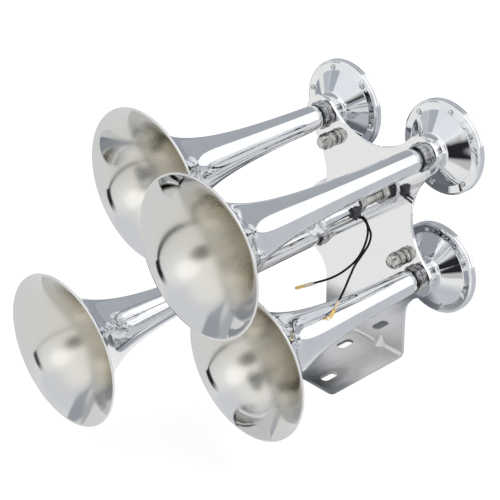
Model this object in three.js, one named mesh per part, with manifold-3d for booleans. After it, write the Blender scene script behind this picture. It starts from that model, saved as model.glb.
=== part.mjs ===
// Air horn: four flared trumpets on a bent steel plate, a driver behind each one, and an
// electric valve with two leads in the middle.
// Lengths are millimetres. +Z is up, the bells point along -Y, and the origin lies on the
// underside of the foot, on the plate's centre line.
import * as THREE from "three";
import { mergeVertices } from "three/addons/utils/BufferGeometryUtils.js";
import { ConvexGeometry } from "three/addons/geometries/ConvexGeometry.js";
import Module from "manifold-3d";

const wasm = await Module();
wasm.setup();

// Clearances and fineness
const seatGap = 0.3; // between pieces that bear on each other
const cutOverrun = 1; // how far a cutting shape runs past the faces it opens
const weldDistance = 0.001;
const roundSegments = 20;
const smallSegments = 8;
const screwSegments = 6;
const arcDivisions = 5;

// Bracket: plate, bend and foot
const sheet = 3;
const trumpetSpacing = 120; // between trumpet axes, across and up
const patternHeight = 148.5; // from the foot's underside to the middle of the four axes
const lobeRadius = 18.6;
const waistArcRadius = 62;
const skirtWidth = 98;
const skirtFilletRadius = 30;
const bendRadius = 6; // outside of the bend
const footDepth = 91; // from the plate's front face to the foot's front edge
const footCornerRadius = 4;
const originSetback = 50; // from the plate's front face forward to the origin
const slotWidth = 9;
const slotLength = 18;
const rearSlotSetback = 24;
const frontSlotMargin = 17.4; // from the foot's front edge to the middle of its two slots
const frontSlotSpacing = 56.4;
const gussetSpacing = 44;
const gussetWidth = 13.8;
const gussetRise = 12;
const gussetReach = 8.5;
const gussetSink = 0.5;

// Trumpets
const mouthRadius = 68.4;
const tubeRadius = 9; // what the flare runs down to, far from the mouth
const flareLength = 108;
const flarePower = 3.1;
const trumpetWall = 1.6;
const rimBead = 1.3;
const spigotRadius = 8.8; // threaded end that passes the plate into the driver
const boreRadius = 7;
const throatTaper = 8;
const threadShown = 3;
const flareStations = 8;
const upperLeftLength = 208.7; // from the plate's front face to the rim
const upperRightLength = 255.4;
const lowerLeftLength = 301.8;
const lowerRightLength = 206;

// Lock nuts in front of the plate
const lockNutAcross = 22;
const lockNutHex = 5.2;
const lockNutCollar = 1.8;
const lockNutCollarRadius = 11.2;

// Drivers behind the plate
const hubRadius = 16.2;
const hubLength = 11.6;
const threadDepth = 9.7; // threaded bore in the hub
const coneLength = 11.1;
const coneRadius = 34.3;
const coneMiddleShares = [0.53, 0.39]; // shares of the cone's radial and axial run
const flangeRadius = 43.4;
const flangeThickness = 3.6;
const housingWall = 2.6;
const chamberLip = 1.5;
const ledgeWidth = 3.8;
const diaphragmRadius = 33.5;
const diaphragmThickness = 0.5;
const diaphragmLift = 0.5;
const coverRim = 3.7;
const coverCrown = 4.4;
const crownRadius = 31;
const coverWall = 2;
const coverHollowRadius = 28;
const crownShares = [0.75, 0.42];

// Flange screws
const screwCircleRadius = 37.2;
const screwsPerDriver = 6;
const screwRadius = 1.5;
const screwHeadRadius = 2.4;
const screwHeadHeight = 2;
const screwHeadRound = 0.8;
const screwGrip = 2.5; // how far the screw reaches into the cover

// Electric valve on the plate's centre
const stubRadius = 8;
const stubTail = 10; // behind the plate
const valveHexAcross = 20;
const valveHexSetback = 11; // from the plate's front face to the hexagon
const valveHexLength = 7;
const bushingRadius = 10.5;
const bushingLength = 5.4;
const canRadius = 15.4;
const canLength = 38.5;
const canWall = 1.2;
const canEdge = 1.4;
const capSkirt = 3.4;
const capCrown = 8;
const capShares = [0.62, 0.72];
const guideRadius = 7;
const guideBore = 5.6;
const airBore = 3.2;
const seatDepth = 6; // from the hexagon's back face to the plunger's seat
const plungerLength = 26.7;
const plungerTravel = 2.5;
const coreClearance = 1.5; // left between plunger and core when the valve is open
const springPocketRadius = 3.4;
const springPocketDepth = 12;
const springRadius = 2.4;
const springWire = 0.35;
const springTurns = 6;
const springSteps = 8;
const springSides = 5;
const valveNutAcross = 22;
const valveNutThickness = 5;

// Lead clip, leads and terminals
const clipLength = 9.2;
const clipHeight = 12.4;
const clipLobeRadius = 1.9;
const clipWaistShare = 0.72;
const clipFace = 19.5; // from the valve's axis out to the clip's face
const clipSetback = 31.9; // from the plate's front face to the clip's middle
const clipRaise = 1;
const leadDiameter = 2;
const leadStep = 4.6;
const sleeveLength = 8.8;
const terminalBarrelRadius = 1.3;
const bladeLength = 8;
const bladeWidth = 2.6;
const bladeThickness = 0.8;

// Air fittings on the plate
const fittingStemRadius = 4.6;
const fittingStemLength = 0.5;
const fittingTail = 3;
const fittingAcross = 13.8;
const fittingHexLength = 5;
const fittingRingRadius = 7.7;
const fittingRingLength = 1.4;
const fittingCapRadius = 7.3;
const fittingCapLength = 8.3;
const fittingCapShares = [0.8, 0.45];
const upperFittingInset = 14.5; // from the upper left trumpet's axis to the fitting's
const upperFittingDrop = 18.6;
const lowerFittingInset = 17; // from the lower right trumpet's axis to the fitting's
const lowerFittingRise = 14.7;

// Places that follow from the sizes, measured from the plate's front face
const halfSpacing = trumpetSpacing / 2;
const plateBack = sheet;
const footUnderside = -patternHeight;
const footTop = footUnderside + sheet;
const frontSlotSetback = footDepth - frontSlotMargin;
const nutFront = seatGap + lockNutHex + lockNutCollar;
const tubeEnd = nutFront + threadShown;
const hubFront = plateBack + seatGap;
const hubBack = hubFront + hubLength;
const flangeFront = hubBack + coneLength;
const flangeBack = flangeFront + flangeThickness;
const coverFront = flangeBack + seatGap;
const coverBack = coverFront + coverRim;
const diaphragmFront = flangeBack - diaphragmLift - diaphragmThickness;
const nozzleEnd = diaphragmFront - seatGap;
const recessRadius = diaphragmRadius + seatGap;
const chamberRadius = recessRadius - ledgeWidth;
const threadBore = spigotRadius + seatGap;

// Places along the valve, forward of the plate's front face
const valveHexFront = valveHexSetback + valveHexLength;
const canBack = valveHexFront + seatGap + bushingLength + seatGap;
const canFront = canBack + canLength;
const capBack = canFront + seatGap;
const guideFront = canFront - 2 * canWall;
const plungerSeat = valveHexSetback + seatDepth;
const plungerBack = plungerSeat + seatGap;
const plungerFront = plungerBack + plungerLength;
const coreBack = plungerFront + plungerTravel + coreClearance;
const plungerRadius = guideBore - seatGap;

const drivers = [
  { place: "upper_left", side: -1, level: 1, length: upperLeftLength, screwTurn: 48 },
  { place: "upper_right", side: 1, level: 1, length: upperRightLength, screwTurn: 16.5 },
  { place: "lower_left", side: -1, level: -1, length: lowerLeftLength, screwTurn: 30 },
  { place: "lower_right", side: 1, level: -1, length: lowerRightLength, screwTurn: 47.3 },
];

const fittings = [
  { name: "air_fitting_upper", across: upperFittingInset - halfSpacing, up: halfSpacing - upperFittingDrop },
  { name: "air_fitting_lower", across: halfSpacing - lowerFittingInset, up: lowerFittingRise - halfSpacing },
];

// Routes of the two leads in the part's own frame, from the clip to the terminal
const leadRoutes = {
  lead_left: [
    [19.8, 19.6, 146], [22.8, 19.5, 145.9], [26, 19.1, 145], [29.6, 18.2, 143.2], [33.2, 15.8, 139.5],
    [35.4, 12.8, 134.8], [36.5, 9.2, 129.3], [36.8, 5.6, 124.4], [36.6, 1.4, 119.8], [35.6, -2.2, 116],
    [34, -5.9, 112.6], [31.6, -9.8, 109], [28.9, -13.6, 105.7], [25.9, -17.5, 103], [22.6, -21.4, 100.7],
    [18.2, -26.2, 98.5], [13.4, -31, 96.2],
  ],
  lead_right: [
    [19.8, 22.6, 145.2], [22.6, 22.5, 144.7], [26.9, 21.2, 142.2], [31.8, 18.9, 139.5], [36.2, 16.4, 137.2],
    [39.7, 12.2, 134.3], [42.6, 7, 132.2], [45.2, 0.2, 130.3], [47.6, -7, 128.6], [49.8, -13, 127.6],
    [52.6, -19.6, 126.9], [55.8, -25.8, 126.2], [59.4, -32.2, 125.2], [63, -39, 123.6], [66.4, -46, 121],
    [69.1, -52.8, 117.6], [71.2, -59.2, 113.9],
  ],
};

// Solids and geometry

// A closed geometry as a solid that can be joined and cut.
function toSolid(geometry) {
  const bare = geometry.index ? geometry.toNonIndexed() : geometry.clone();
  bare.deleteAttribute("normal");
  bare.deleteAttribute("uv");
  const merged = mergeVertices(bare, weldDistance);
  const triVerts = new Uint32Array(merged.index.array);
  const vertProperties = merged.attributes.position.array;
  return new wasm.Manifold(new wasm.Mesh({ numProp: 3, vertProperties, triVerts }));
}

// A solid back as a geometry with flat faces.
function toGeometry(solid) {
  const mesh = solid.getMesh();
  const geometry = new THREE.BufferGeometry();
  geometry.setAttribute("position", new THREE.BufferAttribute(mesh.vertProperties, 3));
  geometry.setIndex(new THREE.BufferAttribute(mesh.triVerts, 1));
  const flat = geometry.toNonIndexed();
  flat.computeVertexNormals();
  return flat;
}

// Turns an outline of [radius, place along Y] about the Y axis. It closes on itself, or
// starts and ends on the axis.
function revolve(outline, segments = roundSegments) {
  const points = outline.map(([radius, along]) => new THREE.Vector2(radius, along));
  if (THREE.ShapeUtils.area(points) < 0) points.reverse();
  if (points[0].x > 0) points.push(points[0].clone());
  return new THREE.LatheGeometry(points, segments);
}

// A round cutter along Y.
function roundCut(radius, from, to, segments = roundSegments) {
  return toSolid(revolve([[0, from], [radius, from], [radius, to], [0, to]], segments));
}

// A hexagonal prism along Y, with the given distance between its flats and one flat on top.
function hexPrism(across, from, to) {
  const radius = across / Math.sqrt(3);
  const prism = new THREE.CylinderGeometry(radius, radius, to - from, 6, 1, false, Math.PI / 6);
  return toSolid(prism.translate(0, (from + to) / 2, 0));
}

// A hexagonal nut along Y with a plain bore.
function hexNut(across, from, to, bore) {
  return hexPrism(across, from, to).subtract(roundCut(bore, from - cutOverrun, to + cutOverrun));
}

// Extrudes a shape drawn in X and Z backwards from the given place on Y.
function extrudeAlongY(shape, front, depth) {
  const geometry = new THREE.ExtrudeGeometry(shape, { depth, bevelEnabled: false, curveSegments: arcDivisions });
  const turn = new THREE.Matrix4().makeBasis(
    new THREE.Vector3(1, 0, 0),
    new THREE.Vector3(0, 0, 1),
    new THREE.Vector3(0, -1, 0),
  );
  return geometry.applyMatrix4(turn).translate(0, front + depth, 0);
}

// Extrudes a shape drawn in Y and Z along X, from one place to another.
function extrudeAlongX(shape, from, to) {
  const settings = { depth: to - from, bevelEnabled: false, curveSegments: arcDivisions };
  const geometry = new THREE.ExtrudeGeometry(shape, settings);
  const turn = new THREE.Matrix4().makeBasis(
    new THREE.Vector3(0, 1, 0),
    new THREE.Vector3(0, 0, 1),
    new THREE.Vector3(1, 0, 0),
  );
  return geometry.applyMatrix4(turn).translate(from, 0, 0);
}

// The section of a wire or cord, as a shape to be swept along its path.
function roundSection(radius, sides) {
  const section = new THREE.Shape();
  for (let i = 0; i < sides; i++) {
    const angle = (2 * Math.PI * i) / sides;
    if (i === 0) section.moveTo(radius, 0);
    else section.lineTo(radius * Math.cos(angle), radius * Math.sin(angle));
  }
  return section;
}

// Finishes

function finish(color, roughness, metalness) {
  return new THREE.MeshStandardMaterial({ color, roughness, metalness });
}

const finishes = {
  chrome: () => finish(0xb4b8be, 0.08, 1),
  plate: () => finish(0xdcdde0, 0.25, 1),
  nickel: () => finish(0x96938c, 0.3, 1),
  brass: () => finish(0xc9a35a, 0.3, 1),
  steel: () => finish(0xa8aaad, 0.35, 1),
  copper: () => finish(0xb06a3c, 0.4, 1),
  plastic: () => finish(0x141416, 0.45, 0),
  insulation: () => finish(0x1b1b1e, 0.5, 0),
};

function piece(name, geometry, material) {
  const mesh = new THREE.Mesh(geometry, material);
  mesh.name = name;
  return mesh;
}

// Bracket

// The plate: four lobes round the trumpet axes, joined by arcs that are tangent to them.
function plateShape() {
  const waistCentre = halfSpacing + Math.sqrt((waistArcRadius + lobeRadius) ** 2 - halfSpacing ** 2);
  const filletAcross = skirtWidth / 2 + skirtFilletRadius;
  const filletDrop = Math.sqrt((lobeRadius + skirtFilletRadius) ** 2 - (filletAcross - halfSpacing) ** 2);
  const filletUp = -halfSpacing - filletDrop;
  const waistAngle = Math.atan2(halfSpacing, waistCentre - halfSpacing);
  const filletAngle = Math.atan2(filletDrop, halfSpacing - filletAcross);
  const bottom = footUnderside + bendRadius;
  const right = Math.PI / 2;
  const shape = new THREE.Shape();
  shape.moveTo(skirtWidth / 2, bottom);
  shape.lineTo(skirtWidth / 2, filletUp);
  shape.absarc(filletAcross, filletUp, skirtFilletRadius, Math.PI, filletAngle, true);
  shape.absarc(halfSpacing, -halfSpacing, lobeRadius, filletAngle - Math.PI, waistAngle, false);
  shape.absarc(waistCentre, 0, waistArcRadius, Math.PI + waistAngle, Math.PI - waistAngle, true);
  shape.absarc(halfSpacing, halfSpacing, lobeRadius, -waistAngle, right + waistAngle, false);
  shape.absarc(0, waistCentre, waistArcRadius, waistAngle - right, -right - waistAngle, true);
  shape.absarc(-halfSpacing, halfSpacing, lobeRadius, right - waistAngle, Math.PI + waistAngle, false);
  shape.absarc(-waistCentre, 0, waistArcRadius, waistAngle, -waistAngle, true);
  shape.absarc(-halfSpacing, -halfSpacing, lobeRadius, Math.PI - waistAngle, 2 * Math.PI - filletAngle, false);
  shape.absarc(-filletAcross, filletUp, skirtFilletRadius, Math.PI - filletAngle, 0, true);
  shape.lineTo(-skirtWidth / 2, bottom);
  return shape;
}

// The side view of the bend and foot, with a short upright that laps the plate.
function bendShape() {
  const centreAlong = plateBack - bendRadius;
  const centreUp = footUnderside + bendRadius;
  const quarter = Math.PI / 2;
  const shape = new THREE.Shape();
  shape.moveTo(-footDepth, footUnderside);
  shape.lineTo(centreAlong, footUnderside);
  shape.absarc(centreAlong, centreUp, bendRadius, -quarter, 0, false);
  shape.lineTo(plateBack, centreUp + sheet);
  shape.lineTo(0, centreUp + sheet);
  shape.absarc(centreAlong, centreUp, bendRadius - sheet, 0, -quarter, true);
  shape.lineTo(-footDepth, footTop);
  return shape;
}

function slotPath(across, along) {
  const straight = (slotLength - slotWidth) / 2;
  const path = new THREE.Path();
  path.moveTo(across + slotWidth / 2, along - straight);
  path.absarc(across, along + straight, slotWidth / 2, 0, Math.PI, false);
  path.absarc(across, along - straight, slotWidth / 2, Math.PI, 2 * Math.PI, false);
  return path;
}

// The top view of the foot, with round front corners and three slots.
function footShape() {
  const half = skirtWidth / 2;
  const shape = new THREE.Shape();
  shape.moveTo(half, plateBack + cutOverrun);
  shape.lineTo(-half, plateBack + cutOverrun);
  const cornerAcross = half - footCornerRadius;
  const cornerAlong = -footDepth + footCornerRadius;
  shape.absarc(-cornerAcross, cornerAlong, footCornerRadius, Math.PI, 1.5 * Math.PI, false);
  shape.absarc(cornerAcross, cornerAlong, footCornerRadius, 1.5 * Math.PI, 2 * Math.PI, false);
  shape.holes.push(slotPath(0, -rearSlotSetback));
  shape.holes.push(slotPath(-frontSlotSpacing / 2, -frontSlotSetback));
  shape.holes.push(slotPath(frontSlotSpacing / 2, -frontSlotSetback));
  return shape;
}

// A pressed gusset: a dart whose ridge runs from the plate to the foot.
function gusset(across) {
  const half = gussetWidth / 2;
  return toSolid(new ConvexGeometry([
    new THREE.Vector3(across - half, gussetSink, footTop - gussetSink),
    new THREE.Vector3(across + half, gussetSink, footTop - gussetSink),
    new THREE.Vector3(across, gussetSink, footTop + gussetRise),
    new THREE.Vector3(across, -gussetReach, footTop - gussetSink),
  ]));
}

function bracket() {
  const height = 2 * bendRadius + 2 * cutOverrun;
  const footMask = new THREE.ExtrudeGeometry(footShape(), {
    depth: height,
    bevelEnabled: false,
    curveSegments: arcDivisions,
  }).translate(0, 0, footUnderside - cutOverrun);
  const bend = toSolid(extrudeAlongX(bendShape(), -skirtWidth / 2, skirtWidth / 2));
  let body = toSolid(extrudeAlongY(plateShape(), 0, sheet)).add(bend.intersect(toSolid(footMask)));
  for (const side of [-1, 1]) body = body.add(gusset(side * gussetSpacing / 2));
  const holes = drivers.map(({ side, level }) => [side * halfSpacing, level * halfSpacing, threadBore]);
  holes.push([0, 0, stubRadius + seatGap]);
  for (const { across, up } of fittings) holes.push([across, up, fittingStemRadius + seatGap]);
  for (const [across, up, radius] of holes) {
    const cut = roundCut(radius, -cutOverrun, sheet + cutOverrun).translate([across, 0, up]);
    body = body.subtract(cut);
  }
  return piece("bracket", toGeometry(body), finishes.plate());
}

// Trumpets

function flareRadius(back) {
  return tubeRadius + (mouthRadius - tubeRadius) * (flareLength / (flareLength + back)) ** flarePower;
}

// The inner radius, a wall's thickness in from the sloping outside.
function flareInner(back) {
  const slope = flarePower * (flareRadius(back) - tubeRadius) / (flareLength + back);
  return flareRadius(back) - trumpetWall * Math.hypot(1, slope);
}

// Places back from the mouth, closer together where the flare turns fastest.
function stations(from, to) {
  const places = [];
  for (let i = 0; i <= flareStations; i++) places.push(from + (to - from) * (i / flareStations) ** 2);
  return places;
}

function trumpet(place, length) {
  const backEnd = length - tubeEnd;
  const outside = stations(2 * rimBead, backEnd).map((back) => [flareRadius(back), back - length]);
  const inside = stations(0, backEnd - throatTaper).map((back) => [flareInner(back), back - length]);
  const bead = mouthRadius - rimBead;
  const outline = [
    [bead, -length],
    [mouthRadius, rimBead - length],
    [bead, 2 * rimBead - length],
    ...outside,
    [spigotRadius, -tubeEnd],
    [spigotRadius, nozzleEnd],
    [boreRadius, nozzleEnd],
    [boreRadius, -tubeEnd - trumpetWall],
    ...inside.reverse(),
  ];
  return piece("trumpet_" + place, revolve(outline), finishes.chrome());
}

function lockNut(place) {
  const hex = hexNut(lockNutAcross, -seatGap - lockNutHex, -seatGap, threadBore);
  const collar = revolve([
    [threadBore, -nutFront],
    [lockNutCollarRadius, -nutFront],
    [lockNutCollarRadius, -seatGap - lockNutHex / 2],
    [threadBore, -seatGap - lockNutHex / 2],
  ]);
  return piece("lock_nut_" + place, toGeometry(hex.add(toSolid(collar))), finishes.chrome());
}

// Drivers

// The places on the screw circle, as X and Z from the driver's axis.
function screwPlaces() {
  const places = [];
  for (let i = 0; i < screwsPerDriver; i++) {
    const angle = (2 * Math.PI * i) / screwsPerDriver;
    places.push([screwCircleRadius * Math.cos(angle), screwCircleRadius * Math.sin(angle)]);
  }
  return places;
}

function drill(solid, from, to) {
  let drilled = solid;
  for (const [across, up] of screwPlaces()) {
    const cut = roundCut(screwRadius + seatGap, from, to, screwSegments).translate([across, 0, up]);
    drilled = drilled.subtract(cut);
  }
  return drilled;
}

function driverHousing(place) {
  const [radialShare, axialShare] = coneMiddleShares;
  const chamberFront = hubFront + threadDepth;
  const outline = [
    [threadBore, hubFront],
    [hubRadius, hubFront],
    [hubRadius, hubBack],
    [hubRadius + (coneRadius - hubRadius) * radialShare, hubBack + coneLength * axialShare],
    [coneRadius, flangeFront],
    [flangeRadius, flangeFront],
    [flangeRadius, flangeBack],
    [recessRadius, flangeBack],
    [recessRadius, nozzleEnd],
    [chamberRadius, nozzleEnd],
    [chamberRadius, nozzleEnd - chamberLip],
    [hubRadius - housingWall, hubBack + housingWall / 2],
    [hubRadius - housingWall, chamberFront],
    [threadBore, chamberFront],
  ];
  const body = drill(toSolid(revolve(outline)), flangeFront - cutOverrun, flangeBack + cutOverrun);
  return piece("driver_housing_" + place, toGeometry(body), finishes.chrome());
}

// How far the domed back of a cover stands behind its rim at a radius.
function crownHeight(radius) {
  return coverCrown * (1 - (radius / crownRadius) ** 2);
}

function driverCover(place) {
  const dome = crownShares.map((share) => share * crownRadius);
  const hollow = crownShares.map((share) => share * coverHollowRadius);
  const outline = [
    [0, coverBack + crownHeight(0)],
    ...dome.reverse().map((radius) => [radius, coverBack + crownHeight(radius)]),
    [crownRadius, coverBack],
    [flangeRadius, coverBack],
    [flangeRadius, coverFront],
    [coverHollowRadius, coverFront],
    [coverHollowRadius, coverBack + crownHeight(coverHollowRadius) - coverWall],
    ...hollow.map((radius) => [radius, coverBack + crownHeight(radius) - coverWall]),
    [0, coverBack + crownHeight(0) - coverWall],
  ];
  const body = drill(toSolid(revolve(outline)), coverFront - cutOverrun, coverFront + screwGrip + seatGap);
  return piece("driver_cover_" + place, toGeometry(body), finishes.chrome());
}

function diaphragm(place) {
  const back = diaphragmFront + diaphragmThickness;
  const outline = [[0, diaphragmFront], [diaphragmRadius, diaphragmFront], [diaphragmRadius, back], [0, back]];
  return piece("diaphragm_" + place, revolve(outline), finishes.steel());
}

function flangeScrew(name, across, up) {
  const seat = flangeFront - seatGap;
  const top = seat - screwHeadHeight;
  const outline = [
    [0, top],
    [screwHeadRadius - screwHeadRound, top],
    [screwHeadRadius, top + screwHeadRound],
    [screwHeadRadius, seat],
    [screwRadius, seat],
    [screwRadius, coverFront + screwGrip],
    [0, coverFront + screwGrip],
  ];
  const mesh = piece(name, revolve(outline, screwSegments), finishes.steel());
  mesh.position.set(across, 0, up);
  return mesh;
}

// A driver turned so that its screws stand as they do on the real one.
function driver(place, screwTurn) {
  const group = new THREE.Group();
  group.add(driverHousing(place), driverCover(place), diaphragm(place));
  screwPlaces().forEach(([across, up], i) => {
    group.add(flangeScrew("flange_screw_" + place + "_" + (i + 1), across, up));
  });
  group.rotation.y = -THREE.MathUtils.degToRad(screwTurn);
  return group;
}

// Electric valve

function valveBody() {
  const tail = plateBack + stubTail;
  const outside = toSolid(revolve([
    [0, tail],
    [stubRadius, tail],
    [stubRadius, -valveHexSetback - valveHexLength / 2],
    [guideRadius, -valveHexSetback - valveHexLength / 2],
    [guideRadius, -guideFront],
    [0, -guideFront],
  ]));
  const hex = hexPrism(valveHexAcross, -valveHexFront, -valveHexSetback);
  const air = roundCut(airBore, -plungerSeat - cutOverrun, tail + cutOverrun);
  const guide = roundCut(guideBore, -guideFront - cutOverrun, -plungerSeat);
  return piece("valve_body", toGeometry(outside.add(hex).subtract(air).subtract(guide)), finishes.nickel());
}

function valveLockNut() {
  const front = plateBack + seatGap;
  const nut = hexNut(valveNutAcross, front, front + valveNutThickness, stubRadius + seatGap);
  return piece("valve_lock_nut", toGeometry(nut), finishes.nickel());
}

function coilBushing() {
  const back = valveHexFront + seatGap;
  const outline = [
    [guideRadius + seatGap, -back],
    [bushingRadius, -back],
    [bushingRadius, -back - bushingLength],
    [guideRadius + seatGap, -back - bushingLength],
  ];
  return piece("coil_bushing", revolve(outline), finishes.plastic());
}

function coilCan() {
  const outline = [
    [guideRadius + seatGap, -canBack],
    [canRadius - canEdge, -canBack],
    [canRadius, -canBack - canEdge],
    [canRadius, -canFront],
    [canRadius - canWall, -canFront],
    [canRadius - canWall, -canBack - canWall - canEdge],
    [guideRadius + seatGap, -canBack - canWall - canEdge],
  ];
  return piece("coil_can", revolve(outline), finishes.chrome());
}

function coilWinding() {
  const back = canBack + canWall + canEdge + seatGap;
  const outer = canRadius - canWall - seatGap;
  const outline = [
    [guideRadius + seatGap, -back],
    [outer, -back],
    [outer, -guideFront],
    [guideRadius + seatGap, -guideFront],
  ];
  return piece("coil_winding", revolve(outline), finishes.copper());
}

// The can's domed end, with the fixed core that the plunger is drawn towards.
function endCap() {
  const [radialShare, axialShare] = capShares;
  const shoulder = capBack + capSkirt;
  const outline = [
    [0, -coreBack],
    [plungerRadius, -coreBack],
    [plungerRadius, -capBack],
    [canRadius, -capBack],
    [canRadius, -shoulder],
    [canRadius * (1 + radialShare) / 2, -shoulder - capCrown * (1 - axialShare)],
    [canRadius * radialShare, -shoulder - capCrown * axialShare],
    [0, -shoulder - capCrown],
  ];
  return piece("end_cap", revolve(outline), finishes.chrome());
}

function plunger() {
  const body = roundCut(plungerRadius, -plungerFront, -plungerBack);
  const pocket = roundCut(springPocketRadius, -plungerFront - cutOverrun, springPocketDepth - plungerFront);
  return piece("plunger", toGeometry(body.subtract(pocket)), finishes.steel());
}

// The middle line of the return spring, from the core's face back into the plunger's pocket.
class SpringPath extends THREE.Curve {
  getPoint(share, target = new THREE.Vector3()) {
    const angle = 2 * Math.PI * springTurns * share;
    const front = coreBack - seatGap - springWire;
    const back = plungerFront + plungerTravel - springPocketDepth + seatGap + springWire;
    const along = -front + (front - back) * share;
    return target.set(springRadius * Math.cos(angle), along, springRadius * Math.sin(angle));
  }
}

function returnSpring() {
  const section = roundSection(springWire, springSides);
  const settings = { steps: springTurns * springSteps, extrudePath: new SpringPath(), bevelEnabled: false };
  return piece("return_spring", new THREE.ExtrudeGeometry(section, settings), finishes.steel());
}

// Lead clip: a plastic saddle with four round lobes and drawn-in sides.
function clipShape() {
  const along = clipLength / 2 - clipLobeRadius;
  const up = clipHeight / 2 - clipLobeRadius;
  const waistAlong = (clipLength / 2) * clipWaistShare;
  const waistUp = (clipHeight / 2) * clipWaistShare;
  const eighth = Math.PI / 4;
  const shape = new THREE.Shape();
  shape.absarc(along, up, clipLobeRadius, -eighth, 3 * eighth, false);
  shape.lineTo(0, waistUp);
  shape.absarc(-along, up, clipLobeRadius, eighth, 5 * eighth, false);
  shape.lineTo(-waistAlong, 0);
  shape.absarc(-along, -up, clipLobeRadius, 3 * eighth, 7 * eighth, false);
  shape.lineTo(0, -waistUp);
  shape.absarc(along, -up, clipLobeRadius, 5 * eighth, 9 * eighth, false);
  shape.lineTo(waistAlong, 0);
  return shape;
}

function leadClip() {
  const block = toSolid(extrudeAlongX(clipShape(), canRadius / 2, clipFace).translate(0, -clipSetback, clipRaise));
  const saddle = roundCut(canRadius + seatGap, -canFront, -canBack + cutOverrun);
  return piece("lead_clip", toGeometry(block.subtract(saddle)), finishes.plastic());
}

// Leads and terminals, in the part's own frame

function leadPath(name) {
  return new THREE.CatmullRomCurve3(leadRoutes[name].map((point) => new THREE.Vector3(...point)));
}

function lead(name) {
  const path = leadPath(name);
  const steps = Math.round(path.getLength() / leadStep);
  const section = roundSection(leadDiameter / 2, smallSegments);
  const settings = { steps, extrudePath: path, bevelEnabled: false };
  return piece(name, new THREE.ExtrudeGeometry(section, settings), finishes.insulation());
}

// A crimped barrel with a flat blade, in line with its lead's end.
function terminal(name, leadName) {
  const path = leadPath(leadName);
  const end = path.getPointAt(1);
  const direction = path.getTangentAt(1);
  const barrel = roundCut(terminalBarrelRadius, seatGap, sleeveLength, smallSegments);
  const reach = sleeveLength + bladeLength;
  const start = sleeveLength / 2;
  const blade = new THREE.BoxGeometry(bladeWidth, reach - start, bladeThickness);
  const solid = barrel.add(toSolid(blade.translate(0, (start + reach) / 2, 0)));
  const mesh = piece(name, toGeometry(solid), finishes.brass());
  mesh.position.copy(end);
  mesh.quaternion.setFromUnitVectors(new THREE.Vector3(0, 1, 0), direction);
  return mesh;
}

// Air fittings

function airFitting(name, across, up) {
  const [radialShare, axialShare] = fittingCapShares;
  const hexBack = fittingStemLength;
  const ringBack = hexBack + fittingHexLength;
  const capStart = ringBack + fittingRingLength;
  const capEnd = capStart + fittingCapLength;
  const turned = toSolid(revolve([
    [0, plateBack + fittingTail],
    [fittingStemRadius, plateBack + fittingTail],
    [fittingStemRadius, -ringBack],
    [fittingRingRadius, -ringBack],
    [fittingRingRadius, -capStart],
    [fittingCapRadius, -capStart],
    [fittingCapRadius, -capStart - fittingCapLength * axialShare],
    [fittingCapRadius * radialShare, -capEnd + fittingCapLength * (1 - axialShare) / 3],
    [fittingCapRadius * radialShare / 2, -capEnd],
    [0, -capEnd],
  ], 2 * smallSegments));
  const hex = hexPrism(fittingAcross, -ringBack - seatGap, -hexBack);
  const mesh = piece(name, toGeometry(turned.add(hex)), finishes.nickel());
  mesh.position.set(across, 0, up);
  return mesh;
}

// Assembly: the plate's frame has its origin on the front face, in the middle of the four axes.
function assemble() {
  const horn = new THREE.Group();
  const plateFrame = new THREE.Group();
  plateFrame.position.set(0, originSetback, patternHeight);
  plateFrame.add(bracket());
  for (const { place, side, level, length, screwTurn } of drivers) {
    const station = new THREE.Group();
    station.position.set(side * halfSpacing, 0, level * halfSpacing);
    station.add(trumpet(place, length), lockNut(place), driver(place, screwTurn));
    plateFrame.add(station);
  }
  plateFrame.add(valveBody(), valveLockNut(), coilBushing(), coilCan(), coilWinding(), endCap());
  plateFrame.add(plunger(), returnSpring(), leadClip());
  for (const { name, across, up } of fittings) plateFrame.add(airFitting(name, across, up));
  horn.add(plateFrame);
  horn.add(lead("lead_left"), lead("lead_right"));
  horn.add(terminal("terminal_left", "lead_left"), terminal("terminal_right", "lead_right"));
  return horn;
}

export default assemble();
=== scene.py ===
"""Looks of a four-trumpet air horn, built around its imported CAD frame. Metres, +Z up, bells along -Y."""

import logging
import math
from collections.abc import Callable
from dataclasses import dataclass, field
from enum import Enum

import bmesh
import bpy
from mathutils import Matrix, Vector


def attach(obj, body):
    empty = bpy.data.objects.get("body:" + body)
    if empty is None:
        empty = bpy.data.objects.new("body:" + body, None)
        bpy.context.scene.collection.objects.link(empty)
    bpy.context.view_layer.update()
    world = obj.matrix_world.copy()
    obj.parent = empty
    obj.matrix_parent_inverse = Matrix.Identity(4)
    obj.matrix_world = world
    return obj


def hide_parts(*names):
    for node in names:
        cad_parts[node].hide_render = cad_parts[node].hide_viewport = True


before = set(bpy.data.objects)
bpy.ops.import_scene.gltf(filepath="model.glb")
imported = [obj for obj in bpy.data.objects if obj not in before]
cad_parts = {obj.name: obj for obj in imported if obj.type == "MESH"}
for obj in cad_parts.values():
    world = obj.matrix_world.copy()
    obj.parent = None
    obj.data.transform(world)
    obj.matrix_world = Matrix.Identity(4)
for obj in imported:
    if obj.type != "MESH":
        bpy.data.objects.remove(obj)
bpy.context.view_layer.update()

log = logging.getLogger("horn")

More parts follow.
